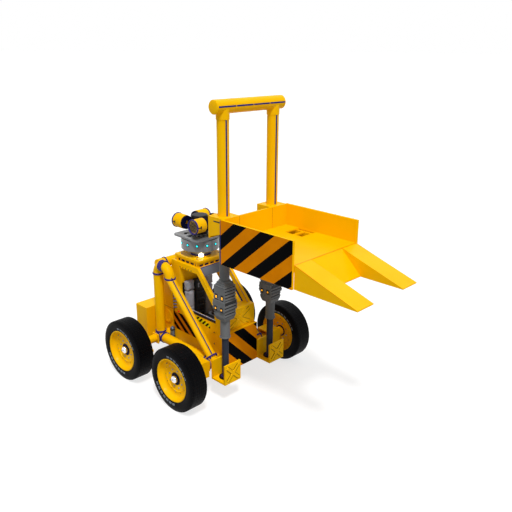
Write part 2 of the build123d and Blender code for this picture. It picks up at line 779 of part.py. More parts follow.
# Ram brackets: U-shaped feet with the embossed front plate and the seat for the rod.
bracket_outer_x = body_half_width + bracket_width
bracket_bottom = body_bottom
bracket_top = bracket_bottom + bracket_height
with BuildPart() as ram_brackets:
    block(body_half_width, bracket_outer_x, bracket_front, bracket_rear, bracket_bottom,
          bracket_bottom + bracket_plate)
    block(body_half_width, bracket_outer_x, bracket_front, bracket_front + bracket_plate,
          bracket_bottom, bracket_top)
    block(body_half_width, bracket_outer_x, bracket_rear - bracket_plate, bracket_rear,
          bracket_bottom, bracket_top)
    crossed_emboss((body_half_width + bracket_outer_x) / 2, (bracket_bottom + bracket_top) / 2,
                   (bracket_top - bracket_bottom) * 0.52, bracket_front)
    rod((ram_x, ram_y, bracket_bottom), (0, 0, 1), foot_hole_radius, bracket_plate, Mode.SUBTRACT)
    mirror(about=Plane.YZ)
keep("ram_brackets", ram_brackets.part)

# Telescopic rams, from the thin rod on the chassis to the tube on the carriage.
with BuildPart() as lower_columns:
    rod((ram_x, ram_y, bracket_bottom), (0, 0, 1), foot_radius, foot_height)
    rod((ram_x, ram_y, bracket_bottom), (0, 0, 1), lower_rod_radius, lower_rod_top - bracket_bottom)
    rod((ram_x, ram_y, lower_rod_top - gland_height), (0, 0, 1), middle_bore_radius - slide_fit, gland_height)
    mirror(about=Plane.YZ)
keep("lower_columns", lower_columns.part)

with BuildPart() as middle_columns:
    rod((ram_x, ram_y, middle_bottom), (0, 0, 1), middle_tube_radius, middle_top - middle_bottom)
    rod((ram_x, ram_y, middle_top - gland_height), (0, 0, 1), mast_bore_radius - slide_fit, gland_height)
    rod((ram_x, ram_y, middle_bottom), (0, 0, 1), lower_rod_radius + slide_fit, gland_height, Mode.SUBTRACT)
    rod((ram_x, ram_y, middle_bottom + gland_height), (0, 0, 1), middle_bore_radius,
        middle_top - middle_cap - middle_bottom - gland_height, Mode.SUBTRACT)
    mirror(about=Plane.YZ)
keep("middle_columns", middle_columns.part)

# Housings clamped round the middle tubes: two ribbed bands and a stepped head.
# Columns: half width at the bottom, half width at the top, height of the band
housing_bands = [
    (lower_band_foot_half, lower_band_half, housing_taper_height),
    (lower_band_half, lower_band_half, lower_band_height),
    (upper_band_half, upper_band_half, upper_band_height),
    (head_half, head_half, head_height),
    (head_step_half, head_step_half, head_step_height),
    (head_cap_half, head_cap_half, head_cap_height),
]
upper_band_bottom = housing_bottom + housing_taper_height + lower_band_height
head_bottom = upper_band_bottom + upper_band_height
# Columns: half width of the ribbed band, height of its lowest slot
rib_bands = [
    (upper_band_half, upper_band_bottom + upper_fin_start),
    (head_half, head_bottom + head_fin_start),
]
with BuildPart() as drive_housings:
    band_z = housing_bottom
    for low_half, high_half, band_height in housing_bands:
        with BuildSketch(Plane(origin=(ram_x, ram_y, band_z))):
            Rectangle(2 * low_half, 2 * low_half)
        with BuildSketch(Plane(origin=(ram_x, ram_y, band_z + band_height))):
            Rectangle(2 * high_half, 2 * high_half)
        loft(ruled=True)
        band_z += band_height
    for half, lowest in rib_bands:
        for index in range(fin_count):
            slot_z = lowest + index * fin_pitch
            block(ram_x - half * fin_share, ram_x + half * fin_share, ram_y - half,
                  ram_y - half + fin_depth, slot_z, slot_z + fin_slot, Mode.SUBTRACT)
    rod((ram_x, ram_y, housing_bottom), (0, 0, 1), middle_tube_radius + slide_fit,
        band_z - housing_bottom, Mode.SUBTRACT)
    mirror(about=Plane.YZ)
keep("drive_housings", drive_housings.part)

with BuildPart() as mast_tubes:
    rod((ram_x, ram_y, tray_panel_top), (0, 0, 1), mast_tube_radius, mast_top - tray_panel_top)
    rod((ram_x, ram_y, tray_panel_top), (0, 0, 1), middle_tube_radius + slide_fit, gland_height, Mode.SUBTRACT)
    rod((ram_x, ram_y, tray_panel_top + gland_height), (0, 0, 1), mast_bore_radius,
        mast_top - tray_panel_top - gland_height, Mode.SUBTRACT)
    mirror(about=Plane.YZ)
keep("mast_tubes", mast_tubes.part)

# Crossbar with its saddle stubs, which are bored for the pistons of the middle tubes.
crossbar_half = ram_x + crossbar_overhang
with BuildPart() as crossbar:
    rod((-crossbar_half, ram_y, mast_top + crossbar_rise), (1, 0, 0), crossbar_radius, 2 * crossbar_half)
    for side in (-1, 1):
        rod((side * ram_x, ram_y, mast_top), (0, 0, 1), tee_radius, crossbar_rise)
    for side in (-1, 1):
        rod((side * ram_x, ram_y, mast_top), (0, 0, 1), mast_bore_radius, tee_bore_depth, Mode.SUBTRACT)
keep("crossbar", crossbar.part)

# Carriage brackets: the top plate carries the mast tube, the web and rear plate stiffen it.
plate_low = tray_panel_top - carriage_plate
with BuildPart() as carriage_brackets:
    block(fork_inner_x, tray_half_width, tray_wall_thickness, carriage_bracket_rear, plate_low, tray_panel_top)
    block(fork_inner_x, tray_half_width, carriage_bracket_rear - bracket_plate, carriage_bracket_rear,
          tray_floor_top, plate_low)
    block(fork_inner_x, fork_inner_x + bracket_plate, tray_wall_thickness, carriage_bracket_rear,
          tray_floor_top, plate_low)
    rod((ram_x, ram_y, plate_low), (0, 0, 1), middle_tube_radius + carriage_bore_gap, carriage_plate,
        Mode.SUBTRACT)
    mirror(about=Plane.YZ)
keep("carriage_brackets", carriage_brackets.part)

with BuildPart() as tray_back_wall:
    block(-tray_half_width, tray_half_width, 0, tray_wall_thickness, tray_panel_bottom, tray_panel_top)
keep("tray_back_wall", tray_back_wall.part)

# Tray floor: the deck plate with its two square holes, and the joists under it.
floor_low = tray_floor_top - tray_floor_thickness
joist_low = floor_low - joist_height
with BuildPart() as tray_floor:
    block(-tray_half_width, tray_half_width, -tray_length, 0, floor_low, tray_floor_top)
    for side in (-1, 1):
        hole_x = side * (fork_inner_x + tray_half_width) / 2
        block(hole_x - floor_hole_width / 2, hole_x + floor_hole_width / 2,
              -floor_hole_setback - floor_hole_length, -floor_hole_setback,
              floor_low, tray_floor_top, Mode.SUBTRACT)
    for joist_x in (-tray_half_width + joist_width, -fork_inner_x + joist_width, fork_inner_x - joist_width,
                    tray_half_width - joist_width):
        block(joist_x - joist_width / 2, joist_x + joist_width / 2, -tray_length, 0, joist_low, floor_low)
    for joist_y in (-tray_length + joist_width, -joist_width):
        block(-tray_half_width, tray_half_width, joist_y - joist_width / 2, joist_y + joist_width / 2,
              joist_low, floor_low)
keep("tray_floor", tray_floor.part)

with BuildPart() as tray_side_panels:
    block(tray_half_width, tray_half_width + tray_panel_thickness, -tray_length, tray_wall_thickness,
          tray_panel_bottom, tray_panel_top)
    mirror(about=Plane.YZ)
keep("tray_side_panels", tray_side_panels.part)


def wedge(x0, x1, length):
    """A folded wedge, open underneath, from the full tray depth down to a thin tip."""
    heel = -tray_length
    slope = (tray_depth - fork_tip_height) / length
    hollow_heel = heel - fork_plate
    hollow_top = tray_floor_top - fork_plate * (slope + hypot(1, slope))
    hollow_tip = hollow_heel - (hollow_top - tray_panel_bottom) / slope
    tip = heel - length
    side_plate([(heel, tray_panel_bottom), (heel, tray_floor_top),
                (tip, tray_panel_bottom + fork_tip_height), (tip, tray_panel_bottom)], x0, x1)
    side_plate([(hollow_heel, tray_panel_bottom), (hollow_heel, hollow_top),
                (hollow_tip, tray_panel_bottom)], x0 + fork_plate, x1 - fork_plate, Mode.SUBTRACT)


with BuildPart() as fork_wedges:
    wedge(fork_inner_x, tray_half_width, fork_length)
    mirror(about=Plane.YZ)
keep("fork_wedges", fork_wedges.part)

with BuildPart() as apron_wedge:
    wedge(-fork_inner_x, fork_inner_x, apron_length)
keep("apron_wedge", apron_wedge.part)

# Air reservoir, strapped upright to the right side of the tub.
canister_x = body_half_width + canister_gap + canister_radius
canister_y = engine_housing_front
with BuildPart() as canister:
    rod((-canister_x, canister_y, canister_bottom), (0, 0, 1), canister_radius, canister_height)
    for strap_z in (canister_bottom + strap_margin, canister_bottom + canister_height - strap_margin):
        block(-canister_x, -body_half_width, canister_y - strap_width / 2, canister_y + strap_width / 2,
              strap_z - strap_half_height, strap_z + strap_half_height)
keep("canister", canister.part)
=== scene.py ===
# %% [markdown]
# ## The finished forklift truck
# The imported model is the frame: every body, node and joint is already in place, in metres.
# The front of the truck faces -Y and the driver's left is +X. Each cell below dresses one
# part of the truck, either by giving a solid its finish or by building a finer piece for it.

# %% Load the frame
from math import cos, exp, pi, radians, sin, sqrt

import bmesh
import bpy
from mathutils import Matrix, Quaternion, Vector


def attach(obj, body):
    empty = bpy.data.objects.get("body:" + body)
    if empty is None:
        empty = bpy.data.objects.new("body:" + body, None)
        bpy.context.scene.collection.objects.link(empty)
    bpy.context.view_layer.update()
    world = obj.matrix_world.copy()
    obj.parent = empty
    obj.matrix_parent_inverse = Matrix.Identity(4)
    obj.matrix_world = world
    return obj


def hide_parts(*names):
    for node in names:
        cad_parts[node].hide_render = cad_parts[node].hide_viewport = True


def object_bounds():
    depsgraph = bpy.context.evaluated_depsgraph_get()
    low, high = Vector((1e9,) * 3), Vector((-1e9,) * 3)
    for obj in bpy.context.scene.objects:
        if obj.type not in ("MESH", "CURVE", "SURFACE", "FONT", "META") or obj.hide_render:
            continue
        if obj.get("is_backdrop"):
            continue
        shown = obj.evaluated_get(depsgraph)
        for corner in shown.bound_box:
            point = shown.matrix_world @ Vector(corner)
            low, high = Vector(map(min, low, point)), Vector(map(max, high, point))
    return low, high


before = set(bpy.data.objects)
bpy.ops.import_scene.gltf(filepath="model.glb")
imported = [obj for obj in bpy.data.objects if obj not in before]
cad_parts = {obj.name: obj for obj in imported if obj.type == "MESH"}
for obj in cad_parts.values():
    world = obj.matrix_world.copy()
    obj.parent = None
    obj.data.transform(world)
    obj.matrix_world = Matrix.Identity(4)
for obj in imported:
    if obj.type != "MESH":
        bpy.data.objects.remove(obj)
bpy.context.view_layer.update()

MM = 0.001

# %% [markdown]
# ## The camera
# The photograph was taken from ahead and to the right of the truck, a little above the roof.
# The camera stands there and looks at a point in the middle of the truck, so it is placed by
# two points and a small roll about its own line of sight, which are easier to check than angles.

# %% Camera
CAMERA_PLACE = Vector((-5.516, -5.412, 4.757))
CAMERA_TARGET = Vector((0.025, 0.030, 2.070))
CAMERA_ROLL = radians(0.37)
CAMERA_LENS = 42.21

camera = bpy.data.objects.new("camera", bpy.data.cameras.new("camera"))
bpy.context.scene.collection.objects.link(camera)
camera.data.lens = CAMERA_LENS
camera.data.clip_end = 1000
camera.location = CAMERA_PLACE
aim = (CAMERA_TARGET - CAMERA_PLACE).to_track_quat("-Z", "Y")
camera.rotation_mode = "QUATERNION"
camera.rotation_quaternion = aim @ Quaternion((0, 0, 1), CAMERA_ROLL)
bpy.context.scene.camera = camera
print("camera stands", round((CAMERA_TARGET - CAMERA_PLACE).length, 2), "m from the truck")

# %% [markdown]
# ## Colours and nodes
# A paint maker gives colours as sRGB values, and a renderer works with linear light, so one
# function turns the first into the second. A second small function adds a shader node with its
# settings and its links, so that each material below reads like a list of what it is made of.

# %% Colour and node helpers
def linear(hex_colour):
    """The linear colour, with alpha, of an sRGB value such as FFB400."""
    channels = [int(hex_colour[i:i + 2], 16) / 255 for i in (0, 2, 4)]
    return [c / 12.92 if c <= 0.04045 else ((c + 0.055) / 1.055) ** 2.4 for c in channels] + [1.0]


def add(tree, kind, settings=None, values=None, links=None):
    """Adds one node. Values and links go to its input sockets, by name or by number."""
    node = tree.nodes.new(kind)
    for name, value in (settings or {}).items():
        setattr(node, name, value)
    for socket, value in (values or {}).items():
        node.inputs[socket].default_value = value
    for socket, source in (links or {}).items():
        tree.links.new(source, node.inputs[socket])
    return node


def math(tree, operation, first, second=None):
    """One step of arithmetic on sockets or plain numbers."""
    node = add(tree, "ShaderNodeMath", {"operation": operation})
    for socket, value in enumerate((first, second)):
        if isinstance(value, (int, float)):
            node.inputs[socket].default_value = value
        elif value is not None:
            tree.links.new(value, node.inputs[socket])
    return node.outputs[0]


def new_material(name, **sockets):
    """A material with one principled shader, whose constants sit on its own sockets."""
    material = bpy.data.materials.new(name)
    material.use_nodes = True
    tree = material.node_tree
    shader = tree.nodes["Principled BSDF"]
    for socket, value in sockets.items():
        shader.inputs[socket.replace("_", " ")].default_value = value
    return material, tree, shader


def place(tree):
    """The point's place on the object, in metres."""
    return add(tree, "ShaderNodeTexCoord").outputs["Object"]


def noise(tree, spacing_mm, detail=2.0, vector=None):
    """Cloudy noise whose blotches are about this many millimetres apart."""
    links = {"Vector": vector or place(tree)}
    node = add(tree, "ShaderNodeTexNoise", None, {"Scale": 1000 / spacing_mm, "Detail": detail}, links)
    return node.outputs["Fac"]


def span(tree, value, low, high, from_low=0.0, from_high=1.0):
    """Maps a number from one range to another and holds it there."""
    values = {"From Min": from_low, "From Max": from_high, "To Min": low, "To Max": high}
    return add(tree, "ShaderNodeMapRange", None, values, {"Value": value}).outputs["Result"]


def mix(tree, factor, first, second):
    """Mixes two colours, each a socket or a linear colour."""
    node = add(tree, "ShaderNodeMix", {"data_type": "RGBA"}, None, {0: factor})
    for socket, colour in ((6, first), (7, second)):
        if isinstance(colour, list):
            node.inputs[socket].default_value = colour
        else:
            tree.links.new(colour, node.inputs[socket])
    return node.outputs[2]


def bump(tree, shader, height, distance_mm, strength=1.0):
    """Raises the surface by a height map whose full step is this many millimetres."""
    values = {"Strength": strength, "Distance": distance_mm * MM}
    node = add(tree, "ShaderNodeBump", None, values, {"Height": height})
    tree.links.new(node.outputs["Normal"], shader.inputs["Normal"])


print("lit yellow in linear light", [round(v, 3) for v in linear("FFC400")])

# %% [markdown]
# ## Enamel on sheet metal
# The truck is sprayed with thick two-pack enamel. It keeps a soft sheen, and sprayed paint is
# never quite flat: it has a fine orange peel, a few millimetres from crest to crest, and the coat
# is thicker and duller in places. It could be one plain colour, but one function makes every
# enamel from clouds and peel, so all share that skin.

# %% Enamel
PEEL_MM = 4.0
PEEL_HEIGHT_MM = 0.05
CLOUD_MM = 420.0
BODY_YELLOW = "FFC400"


def enamel(name, colour, shade, roughness=0.36, coat=0.03, gloss=0.04):
    """Sprayed enamel: the colour drifts to a shade of it, under a thin clear skin."""
    material, tree, shader = new_material(name, IOR=1.5, Coat_Weight=coat, Coat_Roughness=0.15,
                                          Specular_IOR_Level=gloss)
    clouds = noise(tree, CLOUD_MM, 3.0)
    tree.links.new(mix(tree, span(tree, clouds, 0, 1, 0.42, 0.66), linear(colour), linear(shade)),
                   shader.inputs["Base Color"])
    dulled = span(tree, clouds, roughness - 0.04, roughness + 0.08, 0.3, 0.7)
    tree.links.new(dulled, shader.inputs["Roughness"])
    bump(tree, shader, noise(tree, PEEL_MM, 1.0), PEEL_HEIGHT_MM)
    return material


yellow_enamel = enamel("yellow_two_pack_enamel", BODY_YELLOW, "FDBD00")
seam_enamel = enamel("orange_seam_enamel", "F79400", "EE8A00")
# Dark olive for the lines beside the pressed crosses, which are painted shade along their edges.
cross_edge_shade_enamel = enamel("olive_cross_edge_shade_enamel", "6E5200", "5E4600")
grey_enamel = enamel("grey_ram_enamel", "727475", "696B6C", roughness=0.42)
rod_enamel = enamel("blue_grey_rod_enamel", "363B47", "2E3440", roughness=0.38)
turret_enamel = enamel("mid_grey_turret_enamel", "76797D", "6A6D72", roughness=0.3, coat=0.3, gloss=0.5)
slat_enamel = enamel("pale_blue_slat_enamel", "9FB0DC", "8C9ED0", roughness=0.3)
slate_enamel = enamel("slate_header_enamel", "6A6E78", "60646E", roughness=0.4)
navy_enamel = enamel("dark_navy_trim_enamel", "0A0E38", "080A26", roughness=0.35)
violet_enamel = enamel("violet_grey_collar_enamel", "403480", "2E2F7C", roughness=0.32)
blue_enamel = enamel("blue_seam_enamel", "12287C", "101E66", roughness=0.35)
maroon_enamel = enamel("dark_red_lamp_pocket_enamel", "3A0A14", "300810", roughness=0.4)
print("enamels", len(bpy.data.materials))

# %% [markdown]
# ## Warning stripes
# The stripes are sprayed through a mask, so they are exactly straight and their edges are sharp.
# They could be unwrapped onto the panels, but a stripe is only a repeating step along a slanted
# line, so three steps of arithmetic on the place of each point draw it at its real width. The
# stripes stop at the edge of the masked face, and the folded rims stay in the body's yellow.

# %% Stripes


def stripes(name, along, slope, start_mm, black_mm, pitch_mm, second, faded, face=None):
    """Black bands on a colour. They repeat along one axis and lean with the height.

    The face is (axis, side, millimetres): only what lies beyond it on that side is striped.
    """
    material, tree, shader = new_material(name, IOR=1.3, Roughness=0.42, Specular_IOR_Level=0.04)
    axes = add(tree, "ShaderNodeSeparateXYZ", None, None, {0: place(tree)})
    run = math(tree, "MULTIPLY_ADD", axes.outputs["Z"], slope)
    tree.links.new(axes.outputs[along], run.node.inputs[2])
    steps = math(tree, "DIVIDE", math(tree, "SUBTRACT", run, start_mm * MM), pitch_mm * MM)
    band = math(tree, "LESS_THAN", math(tree, "FRACT", steps), black_mm / pitch_mm)
    clouds = span(tree, noise(tree, CLOUD_MM, 3.0), 0, 1, 0.42, 0.66)
    paint = mix(tree, clouds, linear(second), linear(faded))
    painted = mix(tree, band, paint, linear("020203"))
    if face:
        axis, side, edge_mm = face
        depth = math(tree, "ABSOLUTE", axes.outputs[axis]) if side == "both" else \
            math(tree, "MULTIPLY", axes.outputs[axis], side)
        masked = math(tree, "GREATER_THAN", depth, edge_mm * MM)
        painted = mix(tree, masked, linear(BODY_YELLOW), painted)
    tree.links.new(painted, shader.inputs["Base Color"])
    bump(tree, shader, noise(tree, PEEL_MM, 1.0), PEEL_HEIGHT_MM)
    return material


TRAY_TOP = 2712
PANEL_TOP = 906
TRAY_LEAN, TRAY_PITCH = 1.18, 465
tray_stripes = stripes("tray_panel_warning_stripes", "Y", TRAY_LEAN, TRAY_LEAN * TRAY_TOP - 455, 230,
                       TRAY_PITCH, "E88A00", "DE8200", ("X", "both", 633.5))
panel_stripes = stripes("front_panel_warning_stripes", "X", 1.0, PANEL_TOP - 585, 200, 400, "F59300", "EC8C00",
                        ("Y", -1, -270.5))
cab_stripes = stripes("cab_side_warning_stripes", "Y", -1.25, 370, 100, 195, "E88A00", "DE8200")
edge_stripes = stripes("sill_hazard_tape", "Y", 1.0, 0, 42, 84, "E4E000", "D8D400")
print("stripe pitch on the tray", TRAY_PITCH, "mm")

# %% [markdown]
# ## Bare metals, rubber and plastics
# Each finish starts from what it is made of. Turned steel has fine rings of tool marks, cast
# iron keeps the grain of the sand it was poured in, moulded rubber is dull and a little
# mottled, and a moulded plastic has a fine spark-eroded texture.

# %% Other finishes


def grained(name, colour, shade, grain_mm, height_mm, roughness, **sockets):
    """A finish whose colour and height follow one grain."""
    material, tree, shader = new_material(name, **sockets)
    grain = noise(tree, grain_mm, 4.0)
    tree.links.new(mix(tree, span(tree, grain, 0, 1, 0.35, 0.65), linear(colour), linear(shade)),
                   shader.inputs["Base Color"])
    dulled = span(tree, grain, roughness - 0.06, roughness + 0.06, 0.35, 0.65)
    tree.links.new(dulled, shader.inputs["Roughness"])
    bump(tree, shader, grain, height_mm)
    return material


chrome = grained("polished_chrome_plate", "E6E9EE", "DDE1E8", 60, 0.01, 0.1, Metallic=1.0)
bare_steel = grained("turned_bare_steel", "8E9298", "7E8288", 6, 0.03, 0.36, Metallic=1.0)
blue_steel = grained("blued_reservoir_steel", "7388A2", "66788F", 12, 0.02, 0.3, Metallic=0.6)
cast_iron = grained("sand_cast_iron", "3A3B3D", "2E2F31", 5, 0.3, 0.62, Metallic=0.3)
tyre_rubber = grained("moulded_tyre_rubber", "070709", "050507", 14, 0.12, 0.5, IOR=1.3,
                      Specular_IOR_Level=0.12)
mark_rubber = grained("pale_sidewall_rubber", "7F868F", "6E757E", 14, 0.05, 0.6, Specular_IOR_Level=0.2)
black_plastic = grained("moulded_black_plastic", "08080A", "0C0C10", 3, 0.08, 0.48, Specular_IOR_Level=0.25)
grey_vinyl = grained("grained_grey_seat_vinyl", "9A9DA6", "8E929C", 3.5, 0.18, 0.5, Sheen_Weight=0.08,
                     Specular_IOR_Level=0.3)
black_vinyl = grained("grained_black_seat_vinyl", "0B0B0E", "121217", 3.5, 0.18, 0.52, Sheen_Weight=0.05,
                      Specular_IOR_Level=0.25)
print("finishes", len(bpy.data.materials))

# %% [markdown]
# ## Lenses that glow
# The lamps of the truck are lit. A lens is coloured polycarbonate with a diode behind it, so it
# glows with its own colour and still has a smooth skin. An emission on the shader's own sockets
# gives that, and a fine frost in the moulding breaks up the highlight.

# %% Lenses


def lens(name, colour, glow, strength):
    """Frosted polycarbonate with a light behind it."""
    material = grained(name, colour, colour, 2.0, 0.05, 0.25, IOR=1.58)
    shader = material.node_tree.nodes["Principled BSDF"]
    shader.inputs["Emission Color"].default_value = linear(glow)
    shader.inputs["Emission Strength"].default_value = strength
    return material


cyan_lens = lens("cyan_marker_lens", "10D8E0", "00E8F0", 1.2)
amber_lens = lens("amber_marker_lens", "FFB000", "FFA800", 0.9)
red_lens = lens("red_marker_lens", "C01008", "E01808", 0.6)
beam_lens = lens("yellow_beam_lens", "C9A85A", "C8A040", 0.25)
dome_lens = lens("warm_white_dome_lens", "FFF8E0", "FFF4C8", 9.0)
print("lenses", 5)

# %% [markdown]
# ## Tools for shaping pieces
# Every new piece is shaped in millimetres with bmesh operators, then scaled to metres as it is
# finished. Most parts of a truck are blocks with rounded edges, turned parts, or lengths of
# tube and trim, so a few small functions make nearly all of them, and each keeps its own shape
# in a mesh of its own until it is finished.

# %% Shaping tools
ORIGIN, UP, LEFT, BACK, AHEAD = (0, 0, 0), (0, 0, 1), (1, 0, 0), (0, 1, 0), (0, -1, 0)


def turn_to(start, axis):
    """The move that takes the Z axis onto a line from a point along an axis."""
    return Matrix.Translation(Vector(start)) @ Vector(axis).to_track_quat("Z", "Y").to_matrix().to_4x4()


def block(mesh, low, high, round_mm=0.0, turn=Matrix.Identity(4), segments=2):
    """A box between two corners, turned if wanted, with all its edges rounded."""
    low, high = Vector(low), Vector(high)
    size = Matrix.LocRotScale((low + high) / 2, None, high - low)
    corners = bmesh.ops.create_cube(mesh, size=1, matrix=turn @ size)["verts"]
    if round_mm:
        edges = list({edge for corner in corners for edge in corner.link_edges})
        bmesh.ops.bevel(mesh, geom=edges, offset=round_mm, affect="EDGES", segments=segments,
                        profile=0.5, material=-1)


def join(mesh, own, move=Matrix.Identity(4)):
    """Moves a finished shape into the mesh of its piece."""
    bmesh.ops.transform(own, matrix=move, verts=own.verts[:])
    data = bpy.data.meshes.new("joined_shape")
    own.to_mesh(data)
    own.free()
    mesh.from_mesh(data)
    bpy.data.meshes.remove(data)


def turned(mesh, profile, start, axis, steps=48, angle=2 * pi, first=0.0):
    """Spins a closed outline of (radius, distance) points about an axis, as a lathe would.

    An outline that begins and ends on the axis closes there by itself.
    """
    own = bmesh.new()
    points = [own.verts.new((radius, 0, along)) for radius, along in profile]
    pairs = list(zip(points, points[1:]))
    if profile[0][0] > 0 or profile[-1][0] > 0:
        pairs.append((points[-1], points[0]))
    edges = [own.edges.new(pair) for pair in pairs]
    bmesh.ops.spin(own, geom=points + edges, cent=ORIGIN, axis=UP, angle=angle, steps=steps,
                   use_merge=angle == 2 * pi, use_duplicate=False)
    bmesh.ops.remove_doubles(own, verts=own.verts[:], dist=0.001)
    if angle != 2 * pi:
        bmesh.ops.holes_fill(own, edges=own.edges[:])
    join(mesh, own, turn_to(start, axis) @ Matrix.Rotation(first, 4, "Z"))


def ring(mesh, centre, axis, inner, outer, width, steps=40):
    """A clamp ring with softened rims, centred on a point of its axis."""
    soft, half = min(2.0, (outer - inner) / 3), width / 2
    turned(mesh, [(inner, -half), (outer - soft, -half), (outer, soft - half), (outer, half - soft),
                  (outer - soft, half), (inner, half)], centre, axis, steps)


def trim(mesh, start, end, out, radius=0.0, width=12.0, proud=2.5, sink=2.0):
    """A flat strip that lies along a line, on the side of it that out names."""
    start, end = Vector(start), Vector(end)
    along = (end - start).normalized()
    out = (Vector(out) - along * Vector(out).dot(along)).normalized()
    across = along.cross(out)
    turn = Matrix((across, out, along)).transposed().to_4x4()
    turn.translation = start
    block(mesh, (-width / 2, radius - sink, 0), (width / 2, radius + proud, (end - start).length),
          min(1.2, proud * 0.45), turn, 1)


def dome(mesh, place_mm, axis, radius, height, steps=20, sink=1.0):
    """A button head: a low dome on a short straight rim."""
    turned(mesh, [(0, -sink), (radius, -sink), (radius, height * 0.3), (radius * 0.8, height * 0.75),
                  (radius * 0.4, height), (0, height)], place_mm, axis, steps)


def hexagon_head(mesh, place_mm, axis, across_flats, height):
    """A bolt's hexagon head on its washer."""
    radius = across_flats / sqrt(3)
    dome(mesh, place_mm, axis, radius * 1.25, 2.0, 16)
    move = turn_to(place_mm, axis) @ Matrix.Translation((0, 0, height / 2 + 1))
    head = bmesh.ops.create_cone(mesh, cap_ends=True, segments=6, radius1=radius, radius2=radius * 0.94,
                                 depth=height, matrix=move)["verts"]
    bmesh.ops.bevel(mesh, geom=list({edge for corner in head for edge in corner.link_edges}), offset=0.8,
                    affect="EDGES", segments=1, profile=0.5, material=-1)


def mirrored(mesh):
    """Adds the same shapes on the other side of the truck."""
    copies = bmesh.ops.duplicate(mesh, geom=mesh.verts[:] + mesh.edges[:] + mesh.faces[:])["geom"]
    verts = [item for item in copies if isinstance(item, bmesh.types.BMVert)]
    bmesh.ops.scale(mesh, vec=(-1, 1, 1), verts=verts)


made_pieces = []


def finish_piece(name, mesh, finish, body, slot, replaced=(), sharp=34):
    """Closes a shape into a named piece in metres that rides on a body of the truck."""
    bmesh.ops.recalc_face_normals(mesh, faces=mesh.faces[:])
    bmesh.ops.scale(mesh, vec=(MM, MM, MM), verts=mesh.verts[:])
    data = bpy.data.meshes.new(name)
    mesh.to_mesh(data)
    mesh.free()
    data.materials.append(finish)
    data.shade_smooth()
    data.set_sharp_from_angle(angle=radians(sharp))
    piece = bpy.data.objects.new(name, data)
    bpy.context.scene.collection.objects.link(piece)
    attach(piece, body)
    if replaced:
        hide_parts(*replaced)
    made_pieces.append(piece)
    return piece


def finish_both(name, mesh, *looks):
    """Mirrors the mesh to the other side of the truck and finishes both sides as one piece."""
    mirrored(mesh)
    finish_piece(name, mesh, *looks)


print("shaping tools ready")

# %% [markdown]
# ## Finishes on the solids
# Every solid that keeps its own shape gets its finish here. A folded or machined edge is never
# knife sharp, and the small round along it catches the light. The solid's own mesh is left as
# it is: a weld joins its loose triangles and a bevel rounds the edges, both as modifiers.

# %% Dress the solids
FINISHES = {
    yellow_enamel: ["chassis_tub", "nose_box", "cab_side_walls", "cab_roof_frame", "cab_rear_wall",
                    "engine_housing", "roof_plate", "top_cross_tube", "front_axle", "rear_axle", "ram_brackets",
                    "counterweight", "mast_tubes", "crossbar", "carriage_brackets", "tray_back_wall",
                    "tray_floor", "fork_wedges", "apron_wedge", "knuckle_right", "knuckle_left",
                    "lower_tubes", "upright_tubes", "diagonal_tubes"],
    tray_stripes: ["tray_side_panels"],
    panel_stripes: ["front_panel"],
    grey_enamel: ["middle_columns", "drive_housings"],
    rod_enamel: ["lower_columns"],
    turret_enamel: ["beacon_drum", "beacon_plate"],
    slate_enamel: ["windscreen_header"],
    bare_steel: ["tie_rod"],
    cast_iron: ["engine_block"],
    black_plastic: ["seat_pedestal", "steering_column"],
}
for finish, names in FINISHES.items():
    for name in names:
        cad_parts[name].material_slots[0].material = finish

EDGE_ROUNDS_MM = {
    4: ["nose_box", "front_panel", "cab_roof_frame", "counterweight", "engine_housing", "tray_side_panels",
        "fork_wedges", "apron_wedge", "ram_brackets", "carriage_brackets", "drive_housings", "front_axle"],
    2: ["beacon_plate", "roof_plate"],
}


def round_edges(name, radius_mm):
    """Welds a solid's loose triangles and rounds its edges, without touching its own mesh."""
    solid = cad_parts[name]
    weld = solid.modifiers.new("weld", "WELD")
    weld.merge_threshold = 0.01 * MM
    rounding = solid.modifiers.new("edge_round", "BEVEL")
    rounding.width = radius_mm * MM
    rounding.segments = 2
    rounding.limit_method = "ANGLE"
    rounding.angle_limit = radians(35)
    rounding.harden_normals = True


for radius_mm, names in EDGE_ROUNDS_MM.items():
    for name in names:
        round_edges(name, radius_mm)
print("solids dressed", sum(len(names) for names in FINISHES.values()))

# %% [markdown]
# ## Tyres
# A truck tyre is moulded in one piece: two bulging sidewalls, a rounded shoulder and a tread of
# rubber blocks with grooves between them. Its section is spun about the wheel's axis, and the
# blocks are raised by insetting each face of the tread by itself, which leaves the grooves.
# Plain raised dashes lie along two arcs of each sidewall.

# %% Tyres
WHEEL_RADIUS = 462
WHEELS = {"front_right": (-1, 438), "front_left": (1, 438), "rear_right": (-1, 1638), "rear_left": (1, 1638)}
WHEEL_X = 1066
TREAD_STEPS = 60
GROOVE_MM, BLOCK_MM = 3.4, 4.4
TREAD_EDGES = (116, 96, 48, 16, -16, -48, -96, -116)
TREAD_R, TREAD_FROM_R = 457.5, 450.5
SIDEWALL = [(309, 122), (315, 124), (318, 131), (326, 135), (332, 133.5), (340, 136), (362, 139.6),
            (386, 140.4), (408, 138.6), (426, 133.5), (438, 127), (449, 122)]


def on_every_wheel(name, build, finish, slot, replaced=""):
    """Builds a wheel piece with its outer side at +X and sets it on all four wheels."""
    for corner, (side, axle_y) in WHEELS.items():
        mesh = bmesh.new()
        build(mesh)
        where = Matrix.Translation((side * WHEEL_X, axle_y, WHEEL_RADIUS)) @ Matrix.Diagonal((side, 1, 1, 1))
        bmesh.ops.transform(mesh, matrix=where, verts=mesh.verts[:])
        finish_piece(f"{name}_{corner}", mesh, finish, f"wheel_{corner}", slot,
                     (f"{replaced}_{corner}",) if replaced else ())


